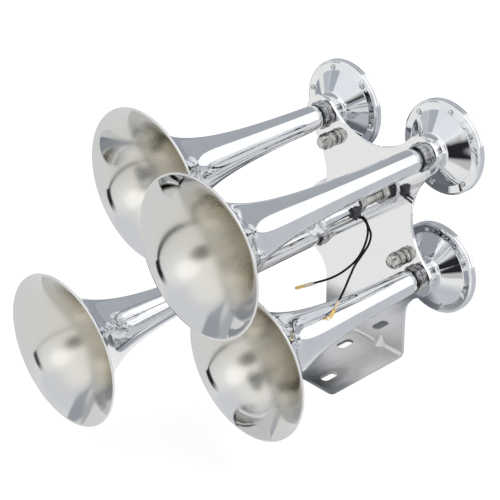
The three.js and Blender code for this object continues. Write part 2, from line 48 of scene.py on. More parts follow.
MM = 0.001
BODY = "horn"  # the CAD body that every piece made here rides on
PLATE_FRONT = 50 * MM  # the place of the plate's front face, along Y
PATTERN_HEIGHT = 148.5 * MM  # the valve's axis above the foot's underside
HALF_SPACING = 60 * MM  # from the valve's axis to the trumpets' axes, across and up
GAP = 0.3 * MM  # the clearance between neighbouring pieces
SHEET = 3 * MM  # the bracket's thickness
NOZZLE_END = 28.3 * MM  # the trumpets' inner ends, behind the plate's front face
NECK_BORE = 9.1 * MM  # the radius of the holes that a trumpet's neck passes through
STUB_BORE = 8.3 * MM  # the same for the valve's stub
CAN_RADIUS = 15.4 * MM  # the coil can, which the lead clip sits on
DOUBLES = 0.001 * MM  # vertices closer than this are one
TOUCH = 1e-7  # how near to a line counts as on it
SIXTH = math.pi / 3  # a sixth of a turn
VALVE_AXIS = Vector((0, PLATE_FRONT, PATTERN_HEIGHT))
FITTING_PLACES = {"upper": (-45.5 * MM, 41.4 * MM), "lower": (43 * MM, -45.3 * MM)}  # across and up from it
VIEWED = Vector((0, 0, 0.15))  # what the lamps point at

Outline = list[tuple[float, float]]
Rounds = dict[int, float]


class Place(Enum):
    """The four trumpet places: name, side across and level up."""

    UPPER_LEFT = ("upper_left", -1, 1)
    UPPER_RIGHT = ("upper_right", 1, 1)
    LOWER_LEFT = ("lower_left", -1, -1)
    LOWER_RIGHT = ("lower_right", 1, -1)

    @property
    def label(self) -> str:
        """The place's part of a node name."""
        return self.value[0]

    @property
    def axis(self) -> Vector:
        """Where the trumpet's axis meets the plate's front face."""
        _, side, level = self.value
        return Vector((side * HALF_SPACING, PLATE_FRONT, PATTERN_HEIGHT + level * HALF_SPACING))


def operator(operation: str, swapped: bool = False) -> Callable[["Wire", object], "Wire"]:
    """Makes one of Wire's operators out of a Math node's operation.

    Args:
        operation: The Math node's operation.
        swapped: Whether the other value comes first.

    Returns:
        The method.
    """

    def combine(self: "Wire", other: "Wire | float") -> "Wire":
        """Adds the Math node and returns its output."""
        first, second = (other, self) if swapped else (self, other)
        return self.graph.out("ShaderNodeMath", {"operation": operation}, {0: first, 1: second})

    return combine


class Wire:
    """A shader socket that takes part in Python expressions."""

    def __init__(self, graph: "Graph", socket: bpy.types.NodeSocket) -> None:
        """Keeps the socket and the graph that new nodes go into."""
        self.graph = graph
        self.socket = socket

    __add__ = operator("ADD")
    __radd__ = operator("ADD", swapped=True)
    __sub__ = operator("SUBTRACT")
    __rsub__ = operator("SUBTRACT", swapped=True)
    __mul__ = operator("MULTIPLY")
    __rmul__ = operator("MULTIPLY", swapped=True)
    __truediv__ = operator("DIVIDE")
    __rtruediv__ = operator("DIVIDE", swapped=True)
    __pow__ = operator("POWER")
    __rpow__ = operator("POWER", swapped=True)


class Graph:
    """A node tree that is filled from expressions."""

    def __init__(self, tree: bpy.types.NodeTree) -> None:
        """Empties the node tree of a material or of the world."""
        self.tree = tree
        tree.nodes.clear()

    def add(self, kind: str, settings: dict | None = None, inputs: dict | None = None) -> bpy.types.Node:
        """Adds any node: its settings are set first, then its sockets.

        Args:
            kind: The node's type.
            settings: Properties, with a ramp's stops as a list of (position, colour).
            inputs: Socket names or numbers, with values, wires or sockets.

        Returns:
            The node.
        """
        node = self.tree.nodes.new(kind)
        for name, value in (settings or {}).items():
            if name == "stops":
                self._set_stops(node.color_ramp, value)
            else:
                setattr(node, name, value)
        for key, value in (inputs or {}).items():
            if isinstance(value, Wire):
                self.tree.links.new(value.socket, node.inputs[key])
            elif isinstance(value, bpy.types.NodeSocket):
                self.tree.links.new(value, node.inputs[key])
            else:
                node.inputs[key].default_value = value
        return node

    def out(
        self, kind: str, settings: dict | None = None, inputs: dict | None = None, output: int | str = 0
    ) -> Wire:
        """Adds a node and returns one of its outputs, by number or name."""
        return Wire(self, self.add(kind, settings, inputs).outputs[output])

    @staticmethod
    def _set_stops(ramp: bpy.types.ColorRamp, stops: list[tuple[float, tuple]]) -> None:
        """Fills a colour ramp.

        Args:
            ramp: The ramp.
            stops: Positions with their colours, in order.
        """
        while len(ramp.elements) < len(stops):
            ramp.elements.new(1.0)
        for element, (position, colour) in zip(ramp.elements, stops):
            element.position = position
            element.color = colour

    def place(self) -> Wire:
        """The point in the part's frame."""
        return self.out("ShaderNodeTexCoord", output="Object")

    def axes(self, vector: Wire) -> tuple[Wire, ...]:
        """The X, Y and Z of a vector."""
        split = self.add("ShaderNodeSeparateXYZ", None, {0: vector})
        return tuple(Wire(self, part) for part in split.outputs)

    def rays(self, kind: str) -> Wire:
        """1 for one kind of ray, such as camera rays, and 0 for the others."""
        return self.out("ShaderNodeLightPath", output=f"Is {kind} Ray")

    def mapped(self, vector: Wire, location: tuple = (0, 0, 0), scale: tuple = (1, 1, 1)) -> Wire:
        """A vector after scaling on each axis and then moving."""
        return self.out("ShaderNodeMapping", None, {"Vector": vector, "Location": location, "Scale": scale})

    def noise(self, vector: Wire, scale: float, detail: float = 3, rough: float = 0.5) -> Wire:
        """A noise value from 0 to 1, with scale in cells for each metre and detail in octaves."""
        inputs = {"Vector": vector, "Scale": scale, "Detail": detail, "Roughness": rough}
        return self.out("ShaderNodeTexNoise", None, inputs)

    def blend(self, factor: Wire, first: "Wire | tuple", second: "Wire | tuple") -> Wire:
        """Mixes two colours: factor 0 gives the first, 1 the second."""
        settings = {"data_type": "RGBA", "clamp_factor": True}
        return self.out("ShaderNodeMix", settings, {0: factor, 6: first, 7: second}, 2)

    def step(self, value: Wire, low: float, high: float) -> Wire:
        """A smooth step of value from 0 at low to 1 at high."""
        settings = {"interpolation_type": "SMOOTHSTEP"}
        return self.out("ShaderNodeMapRange", settings, {"Value": value, "From Min": low, "From Max": high})

    def window(self, value: Wire, rise: tuple[float, float], fall: tuple[float, float]) -> Wire:
        """1 between a smooth rise and a smooth fall of value, 0 outside them."""
        return self.step(value, *rise) * (1 - self.step(value, *fall))

    def bump(self, height: Wire, strength: float, distance: float) -> Wire:
        """A bumped normal, where a height of 1 stands for distance in metres."""
        inputs = {"Height": height, "Strength": strength, "Distance": distance}
        return self.out("ShaderNodeBump", None, inputs, "Normal")

    def surface(self, **sockets: object) -> None:
        """Puts a Principled shader on the output.

        Args:
            **sockets: Its sockets' values or wires, with underscores for spaces.
        """
        named = {name.replace("_", " "): value for name, value in sockets.items()}
        shader = self.add("ShaderNodeBsdfPrincipled", None, named)
        self.add("ShaderNodeOutputMaterial", None, {"Surface": shader.outputs[0]})


def rgb(red: float, green: float, blue: float) -> tuple[float, float, float, float]:
    """A colour with full alpha."""
    return (red, green, blue, 1.0)


@dataclass(frozen=True)
class Finish:
    """A finish, made into one material the first time that it is used."""

    name: str

    def material(self) -> bpy.types.Material:
        """Returns the finish's material, new or made before.

        Returns:
            The material.
        """
        found = bpy.data.materials.get(self.name)
        if found is None:
            found = bpy.data.materials.new(self.name)
            found.use_nodes = True
            self.paint(Graph(found.node_tree))
        return found

    def paint(self, graph: Graph) -> None:
        """Fills the material's empty graph."""
        raise NotImplementedError


@dataclass(frozen=True)
class Chrome(Finish):
    """Bright chrome plate: cool, nearly a mirror, with a faint waviness and hazy spots."""

    name: str = "bright_chrome"
    colour: tuple = (0.86, 0.87, 0.885)
    dull_colour: tuple = (0.80, 0.81, 0.83)
    roughness: float = 0.02
    haze: float = 0.035
    waviness: float = 0.09

    def paint(self, graph: Graph) -> None:
        """Fills the material's nodes.

        Args:
            graph: The empty graph.
        """
        place = graph.place()
        cloud = graph.noise(place, 38, 4, 0.6)
        specks = graph.noise(place, 900, 2, 0.7)
        wave = graph.noise(place, 55, 2, 0.4)
        dull = graph.step(cloud, 0.35, 0.75)
        graph.surface(
            Base_Color=graph.blend(dull, rgb(*self.colour), rgb(*self.dull_colour)),
            Metallic=1.0,
            Roughness=self.roughness + dull * self.haze + graph.step(specks, 0.62, 0.8) * 0.03,
            Normal=graph.bump(wave, self.waviness, 0.4 * MM),
        )


@dataclass(frozen=True)
class BellLining(Finish):
    """The inside of one bell: polished at the mouth, satin with fine turning marks towards the throat."""

    across: float = 0.0
    up: float = 0.0
    colour: tuple = (0.71, 0.685, 0.62)
    rim_colour: tuple = (0.66, 0.66, 0.655)
    satin: tuple = (28 * MM, 62 * MM)
    haze: tuple = (50 * MM, 64 * MM)
    ring_scale: float = 1500

    def paint(self, graph: Graph) -> None:
        """Fills the material's nodes.

        Args:
            graph: The empty graph.
        """
        centred = graph.mapped(graph.place(), (-self.across, 0, -self.up))
        x, y, z = graph.axes(centred)
        radius = (x * x + z * z) ** 0.5
        rings = graph.out("ShaderNodeCombineXYZ", None, {0: radius, 1: y})
        turning = graph.noise(rings, self.ring_scale, 3, 0.7)
        smudge = graph.noise(centred, 30, 3, 0.55)
        deep = 1 - graph.step(radius, *self.satin)
        hazy = 1 - graph.step(radius, *self.haze)
        graph.surface(
            Base_Color=graph.blend(deep, rgb(*self.rim_colour), rgb(*self.colour)),
            Metallic=1.0,
            Roughness=0.022 + smudge * 0.02 + hazy * 0.09 + deep * (0.10 + smudge * 0.08),
            Normal=graph.bump(turning * (deep * 1.9 + 0.1) + smudge * 5, 0.3, 0.02 * MM),
        )


@dataclass(frozen=True)
class PlateFinish(Finish):
    """Bright sheet: nearly a mirror on the plate, brushed and darker on the foot, and near-black towards the
    foot's front, where shade is painted.
    """

    name: str = "bright_sheet"
    colour: tuple = (0.83, 0.835, 0.84)
    light_colour: tuple = (0.88, 0.88, 0.885)
    foot_colour: tuple = (0.72, 0.71, 0.70)
    # painted shade: the foot's front part is coloured near-black, with a wavering edge
    front_colour: tuple = (0.17, 0.18, 0.19)
    foot_heights: tuple = (3.2 * MM, 24 * MM)
    front_places: tuple = (-42 * MM, 10 * MM)
    front_waver: float = 30 * MM

    def paint(self, graph: Graph) -> None:
        """Fills the material's nodes.

        Args:
            graph: The empty graph.
        """
        place = graph.place()
        _, along, height = graph.axes(place)
        foot = 1 - graph.step(height, *self.foot_heights)
        streaks = graph.noise(graph.mapped(place, scale=(1, 0.3, 1)), 160, 3, 0.5)
        # painted shade, darker towards the foot's front
        front = 1 - graph.step(along + (streaks - 0.5) * self.front_waver, *self.front_places)
        foot_and_shade = graph.blend(front, rgb(*self.foot_colour), rgb(*self.front_colour))
        cloud = graph.noise(place, 26, 4, 0.6)
        grain = graph.noise(place, 1200, 2, 0.5)
        base = graph.blend(cloud, rgb(*self.colour), rgb(*self.light_colour))
        graph.surface(
            Base_Color=graph.blend(foot, base, foot_and_shade),
            Metallic=1 - foot * 0.12,
            Roughness=0.035 + cloud * 0.04 + foot * (0.04 + streaks * 0.12),
            Normal=graph.bump(cloud * 2 + grain * 0.15 + streaks * foot * 0.3, 0.12, 0.08 * MM),
        )


@dataclass(frozen=True)
class Metal(Finish):
    """A plainer metal with clouded colour and grained gloss; its second colour is a stain, and on the lock
    nuts painted shade.
    """

    colour: tuple = (0.5, 0.5, 0.5)
    stained: tuple = (0.4, 0.4, 0.4)
    roughness: float = 0.25
    spread: float = 0.15
    grain: float = 700
    bump_height: float = 0.02 * MM

    def paint(self, graph: Graph) -> None:
        """Fills the material's nodes.

        Args:
            graph: The empty graph.
        """
        place = graph.place()
        cloud = graph.noise(place, 150, 4, 0.6)
        grain = graph.noise(place, self.grain, 3, 0.6)
        graph.surface(
            # the second colour is a stain, and on the lock nuts painted shade
            Base_Color=graph.blend(graph.step(cloud, 0.35, 0.7), rgb(*self.colour), rgb(*self.stained)),
            Metallic=1.0,
            Roughness=self.roughness + (cloud + grain) * (self.spread / 2),
            Normal=graph.bump(grain, 0.3, self.bump_height),
        )


@dataclass(frozen=True)
class Plastic(Finish):
    """Moulded plastic or soft insulation with a fine surface grain."""

    colour: tuple = (0.008, 0.008, 0.009)
    worn: tuple = (0.016, 0.016, 0.017)
    roughness: float = 0.42
    gloss: float = 0.2
    grain: float = 1500
    bump_height: float = 0.03 * MM

    def paint(self, graph: Graph) -> None:
        """Fills the material's nodes.

        Args:
            graph: The empty graph.
        """
        place = graph.place()
        cloud = graph.noise(place, 120, 3, 0.6)
        grain = graph.noise(place, self.grain, 2, 0.5)
        graph.surface(
            Base_Color=graph.blend(graph.step(cloud, 0.4, 0.7), rgb(*self.colour), rgb(*self.worn)),
            Roughness=self.roughness + cloud * 0.12,
            Specular_IOR_Level=self.gloss,
            Normal=graph.bump(grain, 0.3, self.bump_height),
        )


@dataclass(frozen=True)
class ClearSleeve(Finish):
    """Milky clear sleeving over a crimp."""

    name: str = "clear_sleeve"

    def paint(self, graph: Graph) -> None:
        """Fills the material's nodes.

        Args:
            graph: The empty graph.
        """
        cloud = graph.noise(graph.place(), 500, 3, 0.6)
        graph.surface(
            Base_Color=graph.blend(cloud, rgb(0.86, 0.87, 0.86), rgb(0.93, 0.94, 0.94)),
            Roughness=0.10 + cloud * 0.08,
            Alpha=0.20 + cloud * 0.14,
            IOR=1.45,
        )


CHROME = Chrome()
PLATE = PlateFinish()
NICKEL = Metal("bright_nickel", (0.62, 0.61, 0.585), (0.34, 0.335, 0.325), 0.04, 0.07)
# the lock nuts are darkened with painted shade in the recess between each tube and the plate: near-black
# blotches on the nut and a near-black collar
SHADED_NUT_PLATING = Metal("shaded_nut_plating", (0.60, 0.61, 0.63), (0.06, 0.062, 0.065), 0.03, 0.05)
SHADED_COLLAR_PLATING = Metal("shaded_collar_plating", (0.20, 0.205, 0.215), (0.05, 0.05, 0.055), 0.05, 0.08)
SCREW_STEEL = Metal("screw_plating", (0.70, 0.71, 0.72), (0.58, 0.59, 0.60), 0.14, 0.12)
SPRING_STEEL = Metal("spring_steel", (0.42, 0.42, 0.43), (0.33, 0.33, 0.34), 0.22, 0.2)
DISC_STEEL = Metal("disc_steel", (0.55, 0.55, 0.56), (0.47, 0.47, 0.48), 0.2, 0.2)
BRASS = Metal("bright_brass", (0.93, 0.70, 0.27), (0.78, 0.54, 0.18), 0.14, 0.14)
COPPER = Metal("wound_copper", (0.62, 0.28, 0.13), (0.48, 0.2, 0.09), 0.3, 0.2)
THREADS = Metal("dark_thread", (0.16, 0.165, 0.175), (0.09, 0.09, 0.10), 0.2, 0.16)
BLACK_PLASTIC = Plastic("black_plastic")
INSULATION = Plastic(
    "black_insulation", (0.004, 0.004, 0.005), (0.01, 0.01, 0.011), 0.4, 0.14, bump_height=0.01 * MM
)
SLEEVE = ClearSleeve()


def verts_of(items: list) -> list[bmesh.types.BMVert]:
    """The vertices among what an operator has made."""
    return [item for item in items if isinstance(item, bmesh.types.BMVert)]


def rounded(bm: bmesh.types.BMesh, geom: list, offset: float, segments: int, **options: object) -> None:
    """Rounds edges, or corners where affect is VERTICES, with bevel's other options passed on."""
    settings = {"affect": "EDGES", "profile": 0.5, "material": -1} | options
    bmesh.ops.bevel(bm, geom=geom, offset=offset, segments=segments, **settings)


def hex_edge(across: float, start: float, end: float, chamfer: float, share: float = 0.5) -> Outline:
    """The section of a hexagon's corner, chamfered at both ends.

    Args:
        across: The distance between flats.
        start: Its first end along Y.
        end: Its other end.
        chamfer: How far the chamfers reach in.
        share: How far they reach along, as a share of that.

    Returns:
        The section as (radius, place along Y).
    """
    outer = across / math.sqrt(3)
    inner = outer - chamfer
    along = math.copysign(chamfer * share, end - start)
    return [(inner, start), (outer, start + along), (outer, end - along), (inner, end)]


def polar(vert: bmesh.types.BMVert) -> tuple[float, float]:
    """A vertex's distance from the Y axis and its angle about it."""
    return math.hypot(vert.co.x, vert.co.z), math.atan2(vert.co.z, vert.co.x)


def drawn_in(vert: bmesh.types.BMVert, share: float) -> None:
    """Scales a vertex's distance from the Y axis."""
    vert.co.x *= share
    vert.co.z *= share


def folds(bm: bmesh.types.BMesh, degrees: float) -> list[bmesh.types.BMEdge]:
    """The edges at which two faces meet at more than an angle in degrees."""
    limit = math.radians(degrees)
    return [edge for edge in bm.edges if len(edge.link_faces) == 2 and edge.calc_face_angle(0.0) > limit]


def placed(name: str, data: bpy.types.ID) -> bpy.types.Object:
    """Makes an object and puts it into the scene.

    Args:
        name: The object's name.
        data: Its mesh, curve, camera or lamp.

    Returns:
        The object.
    """
    thing = bpy.data.objects.new(name, data)
    bpy.context.scene.collection.objects.link(thing)
    return thing


class Solid:
    """A mesh in the making."""

    CORNER_STEPS = 5

    def __init__(self) -> None:
        """Starts an empty mesh."""
        self.bm = bmesh.new()

    def wire(self, points: Outline, closed: bool = False, rounds: Rounds | None = None) -> list:
        """Draws an outline of (radius, place along Y), with some corners rounded.

        Args:
            points: The outline's corners.
            closed: Whether the last corner joins the first.
            rounds: Corner numbers with how far their rounding reaches.

        Returns:
            The outline's vertices and edges.
        """
        before = set(self.bm.verts)
        corners = [self.bm.verts.new((radius, along, 0)) for radius, along in points]
        ends = corners[1:] + corners[:1] if closed else corners[1:]
        for first, second in zip(corners, ends):
            self.bm.edges.new((first, second))
        for number, reach in (rounds or {}).items():
            rounded(self.bm, [corners[number]], reach, self.CORNER_STEPS, affect="VERTICES")
        new = [v for v in self.bm.verts if v not in before]
        return new + list({e for v in new for e in v.link_edges})

    def lathe(
        self,
        points: Outline,
        closed: bool = False,
        rounds: Rounds | None = None,
        steps: int = 96,
        material: int = 0,
    ) -> "Solid":
        """Turns an outline about the Y axis.

        Args:
            points: The outline's corners as (radius, place along Y).
            closed: Whether the outline closes on itself.
            rounds: Corner numbers with how far their rounding reaches.
            steps: Steps in a full turn.
            material: The new faces' material number.

        Returns:
            The solid itself.
        """
        old = set(self.bm.faces)
        outline = self.wire(points, closed, rounds)
        bmesh.ops.spin(
            self.bm,
            geom=outline,
            cent=(0, 0, 0),
            axis=(0, 1, 0),
            angle=2 * math.pi,
            steps=steps,
            use_merge=True,
            use_duplicate=False,
        )
        for face in self.bm.faces:
            if face not in old:
                face.material_index = material
        return self

    def hexed(self, across: float, low: float, high: float) -> "Solid":
        """Pares a turned shape down to a hexagon between two places along Y.

        Args:
            across: The distance between flats.
            low: Where the hexagon starts.
            high: Where it ends.

        Returns:
            The solid itself.
        """
        for vert in self.bm.verts:
            radius, angle = polar(vert)
            if radius < across * 0.45 or not low - DOUBLES <= vert.co.y <= high + DOUBLES:
                continue
            limit = across / 2 / math.cos((angle % SIXTH) - SIXTH / 2)
            if radius > limit:
                drawn_in(vert, limit / radius)
        return self

    def moved(self, offset: Vector) -> "Solid":
        """Moves the whole mesh by an offset."""
        bmesh.ops.translate(self.bm, vec=offset, verts=self.bm.verts[:])
        return self

    def turned(self, turn: Matrix) -> "Solid":
        """Turns the whole mesh about the origin."""
        bmesh.ops.rotate(self.bm, cent=(0, 0, 0), matrix=turn, verts=self.bm.verts[:])
        return self

    def joined(self, part: bmesh.types.BMesh) -> "Solid":
        """Adds another mesh, which is used up.

        Args:
            part: The other mesh.

        Returns:
            The solid itself.
        """
        mesh = bpy.data.meshes.new("part")
        part.to_mesh(mesh)
        part.free()
        self.bm.from_mesh(mesh)
        bpy.data.meshes.remove(mesh)
        return self

    def finished(
        self,
        name: str,
        finishes: list[Finish],
        stands_for: list[str],
        slot: str,
        sharp: float,
        flat_normals: bool = True,
    ) -> bpy.types.Object:
        """slot: Not used. The record's material slot.
            sharp: Degrees above which an edge stays sharp.
            flat_normals: Whether large flat faces keep their own shading.

        Returns:
            The object.
        """
        bm = self.bm
        bmesh.ops.remove_doubles(bm, verts=bm.verts[:], dist=DOUBLES)
        bmesh.ops.recalc_face_normals(bm, faces=bm.faces[:])
        for face in bm.faces:
            face.smooth = True
        limit = math.radians(sharp)
        for edge in bm.edges:
            edge.smooth = len(edge.link_faces) != 2 or edge.calc_face_angle(0.0) < limit
        mesh = bpy.data.meshes.new(name)
        bm.to_mesh(mesh)
        bm.free()
        piece = placed(name, mesh)
        for finish in finishes:
            mesh.materials.append(finish.material())
        if flat_normals:
            normals = piece.modifiers.new("flat_normals", "WEIGHTED_NORMAL")
            normals.keep_sharp = True
        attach(piece, BODY)
        if stands_for:
            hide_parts(*stands_for)
        log.info("%s: %d faces", name, len(mesh.polygons))
        return piece


@dataclass
class Trumpet:
    """One flared trumpet: rolled rim, bell, tube and threaded end."""

    place: Place
    length: float
    mouth_radius: float = 68.4 * MM
    tube_radius: float = 9 * MM
    flare_length: float = 108 * MM
    flare_power: float = 3.1
    wall: float = 0.8 * MM
    bead: float = 0.7 * MM
    spigot_radius: float = 8.8 * MM
    bore_radius: float = 7 * MM
    tube_end: float = 8.3 * MM
    bore_start: float = 8 * MM
    chamfer: float = 0.5 * MM
    thread_end: float = -4.3 * MM
    thread_pitch: float = 1 * MM
    thread_depth: float = 0.4 * MM
    stations: int = 60
    crowding: float = 1.8
    bead_start: float = -90
    bead_sweep: float = 240
    bead_steps: int = 14
    steps: int = 128

    def radius(self, back: float) -> float:
        """The outer radius at a distance back from the mouth."""
        share = (self.flare_length / (self.flare_length + back)) ** self.flare_power
        return self.tube_radius + (self.mouth_radius - self.tube_radius) * share

    def inner(self, back: float) -> float:
        """The inner radius at a distance back from the mouth, a wall in from the sloping outside."""
        slope = self.flare_power * (self.radius(back) - self.tube_radius) / (self.flare_length + back)
        return self.radius(back) - self.wall * math.hypot(1, slope)

    def backs(self, start: float, end: float) -> list[float]:
        """Distances back from the mouth, closer together where the flare turns fastest."""
        shares = [(i / self.stations) ** self.crowding for i in range(self.stations + 1)]
        return [start + (end - start) * share for share in shares]

    def rim(self) -> Outline:
        """The rolled rim's section, from its front round to its back.

        Returns:
            The section as (radius, place along Y).
        """
        points = []
        for i in range(self.bead_steps + 1):
            angle = math.radians(self.bead_start + self.bead_sweep * i / self.bead_steps)
            across = self.mouth_radius - self.bead + self.bead * math.cos(angle)
            points.append((across, self.bead * (1 + math.sin(angle)) - self.length))
        return points

    def threads(self) -> Outline:
        """The threaded end's section, with crests as far as the nut hides it, from the tube to the nozzle.

        Returns:
            The section as (radius, place along Y).
        """
        root = self.spigot_radius - self.thread_depth
        points = []
        along = -self.tube_end
        while along < self.thread_end:
            points += [(root, along), (self.spigot_radius, along + self.thread_pitch / 2)]
            along += self.thread_pitch
        return points + [(root, along), (self.spigot_radius, NOZZLE_END)]

    def build(self) -> None:
        """Builds the trumpet."""
        back_end = self.length - self.tube_end
        outer_backs = self.backs(self.bead + 1 * MM, back_end)
        outside = [(self.radius(back), back - self.length) for back in outer_backs]
        inner_backs = self.backs(0.0, back_end - self.bore_start)
        inside = [(self.inner(back), back - self.length) for back in inner_backs]
        edge_radius, edge = outside.pop()
        shoulder = [(edge_radius, edge - self.chamfer), (edge_radius - self.chamfer, edge)]
        threads = self.threads()
        bore = [(self.bore_radius, NOZZLE_END), (self.bore_radius, -self.tube_end - self.wall)]
        solid = Solid()
        solid.lathe(self.rim() + outside + shoulder, steps=self.steps, material=0)
        solid.lathe([shoulder[-1]] + threads, steps=self.steps, material=2)
        solid.lathe([threads[-1]] + bore + inside[::-1] + [self.rim()[0]], steps=self.steps, material=1)
        label, axis = self.place.label, self.place.axis
        finishes = [CHROME, BellLining(f"satin_{label}", axis.x, axis.z), THREADS]
        solid.moved(axis).finished(
            f"bell_{label}", finishes, [f"trumpet_{label}"], "chrome", 50, flat_normals=False
        )


@dataclass
class LockNut:
    """The nut with a round collar that clamps a trumpet to the plate."""

    place: Place
    across: float = 22 * MM
    hex_length: float = 5.2 * MM
    collar_length: float = 1.1 * MM
    collar_radius: float = 11.2 * MM
    bore: float = NECK_BORE
    chamfer: float = 1.1 * MM

    def build(self) -> None:
        """Builds the nut."""
        back, middle = -GAP, -GAP - self.hex_length
        front = middle - self.collar_length
        outline = [(self.bore, back)] + hex_edge(self.across, back, middle, self.chamfer)
        outline += [(self.collar_radius, middle), (self.collar_radius, front), (self.bore, front)]
        solid = Solid().lathe(outline, closed=True, rounds={6: 0.6 * MM, 7: 0.4 * MM}, steps=120)
        solid.hexed(self.across, middle, back)
        for face in solid.bm.faces:
            face.material_index = int(face.calc_center_median().y < middle - 0.01 * MM)
        # both nut finishes carry painted shade
        finishes = [SHADED_NUT_PLATING, SHADED_COLLAR_PLATING]
        label = self.place.label
        solid.moved(self.place.axis).finished(f"nut_{label}", finishes, [f"lock_nut_{label}"], "chrome", 24)


@dataclass
class Driver:
    """The round sound driver behind the plate: housing, cover and screws."""

    place: Place
    screw_turn: float
    hub_front: float = 3.3 * MM
    hub_radius: float = 16.2 * MM
    hub_back: float = 14.9 * MM
    cone_radius: float = 34.3 * MM
    flange_front: float = 26 * MM
    flange_radius: float = 43.4 * MM
    flange_back: float = 29.6 * MM
    cover_front: float = 29.9 * MM
    cover_back: float = 33.6 * MM
    crown: float = 4.4 * MM
    crown_radius: float = 31 * MM
    screw_circle: float = 37.2 * MM
    screw_count: int = 6
    head_radius: float = 2.4 * MM
    head_height: float = 1.5 * MM
    shank_radius: float = 1.5 * MM
    shank_past: float = 2.5 * MM
    socket_radius: float = 1.1 * MM
    socket_depth: float = 0.9 * MM
    bore: float = NECK_BORE
    throat_radius: float = 13.6 * MM
    throat_front: float = 13 * MM
    throat_back: float = 16.2 * MM
    chamber_radius: float = 30 * MM
    chamber_depth: float = 1.5 * MM
    recess_radius: float = 33.8 * MM
    cover_hollow: float = 28 * MM
    cover_floor: float = 1.2 * MM
    cover_wall: float = 2 * MM
    dome_steps: int = 12
    steps: int = 144

    def turned_part(self, kind: str, outline: Outline, closed: bool, rounds: Rounds) -> None:
        """Builds the housing or the cover.

        Args:
            kind: Which of them it is.
            outline: Its section.
            closed: Whether the section closes on itself.
            rounds: Corner numbers with how far their rounding reaches.
        """
        solid = Solid().lathe(outline, closed=closed, rounds=rounds, steps=self.steps)
        label = self.place.label
        solid.moved(self.place.axis).finished(
            f"{kind}_{label}", [CHROME], [f"driver_{kind}_{label}"], "chrome", 34
        )

    def housing(self) -> None:
        """Builds the housing."""
        outline = [
            (self.bore, self.hub_front),
            (self.hub_radius, self.hub_front),
            (self.hub_radius, self.hub_back),
            (self.cone_radius, self.flange_front - 0.5 * MM),
            (self.cone_radius + 0.8 * MM, self.flange_front),
            (self.flange_radius - 2.2 * MM, self.flange_front),
            (self.flange_radius - 1.6 * MM, self.flange_front + 0.5 * MM),
            (self.flange_radius, self.flange_front + 0.9 * MM),
            (self.flange_radius, self.flange_back),
            (self.recess_radius, self.flange_back),
            (self.recess_radius, NOZZLE_END),
            (self.chamber_radius, NOZZLE_END),
            (self.chamber_radius, NOZZLE_END - self.chamber_depth),
            (self.throat_radius, self.throat_back),
            (self.throat_radius, self.throat_front),
            (self.bore, self.throat_front),
        ]
        self.turned_part("housing", outline, True, {1: 0.8 * MM, 2: 1.6 * MM, 7: 0.8 * MM, 8: 0.5 * MM})

    def cover(self) -> None:
        """Builds the domed cover at the back."""
        outline = []
        for i in range(self.dome_steps + 1):
            share = i / self.dome_steps
            outline.append((self.crown_radius * share, self.cover_back + self.crown * (1 - share**2)))
        outline += [
            (self.flange_radius, self.cover_back),
            (self.flange_radius, self.cover_front),
            (self.cover_hollow, self.cover_front),
            (self.cover_hollow, self.cover_back - self.cover_floor),
            (0, self.cover_back + self.crown - self.cover_wall),
        ]
        edge = self.dome_steps
        self.turned_part("cover", outline, False, {edge: 1.2 * MM, edge + 1: 1.3 * MM, edge + 2: 0.5 * MM})

    def screws(self) -> None:
        """Builds the ring of small screws as one piece."""
        seat = self.flange_front - GAP
        top = seat - self.head_height
        depth = top + self.socket_depth
        tip = self.cover_front + self.shank_past
        outline = [
            (0, depth), (self.socket_radius, depth), (self.socket_radius, top),
            (self.head_radius - 0.8 * MM, top), (self.head_radius, seat - 0.5 * MM), (self.head_radius, seat),
            (self.shank_radius, seat), (self.shank_radius, tip), (0, tip),
        ]
        solid = Solid().lathe(outline, rounds={4: 0.5 * MM}, steps=24)
        self.pare_socket(solid)
        bm = solid.moved(Vector((self.screw_circle, 0, 0))).bm
        first = bm.verts[:] + bm.edges[:] + bm.faces[:]
        for i in range(1, self.screw_count):
            copy = bmesh.ops.duplicate(bm, geom=first)
            turn = Matrix.Rotation(2 * math.pi * i / self.screw_count, 3, "Y")
            bmesh.ops.rotate(bm, cent=(0, 0, 0), matrix=turn, verts=verts_of(copy["geom"]))
        solid.turned(Matrix.Rotation(-math.radians(self.screw_turn), 3, "Y"))
        label = self.place.label
        nodes = [f"flange_screw_{label}_{i + 1}" for i in range(self.screw_count)]
        solid.moved(self.place.axis).finished(f"screws_{label}", [SCREW_STEEL], nodes, "steel", 30)

    def pare_socket(self, solid: Solid) -> None:
        """Makes a screw's round recess six-sided.

        Args:
            solid: The turned screw.
        """
        for vert in solid.bm.verts:
            radius, angle = polar(vert)
            if 0.1 * MM < radius < self.socket_radius * 1.01:
                drawn_in(vert, math.cos(SIXTH / 2) / math.cos((angle % SIXTH) - SIXTH / 2))

    def build(self) -> None:
        """Builds the driver's three pieces and finishes its disc."""
        self.housing()
        self.cover()
        self.screws()
        dress(f"diaphragm_{self.place.label}", DISC_STEEL)


def dress(node: str, finish: Finish) -> None:
    """Gives a CAD node that stays a finish.

    Args:
        node: The node's name.
        finish: The finish.
    """
    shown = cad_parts[node]
    shown.data.materials.clear()
    shown.data.materials.append(finish.material())
    log.info("%s: dressed", node)


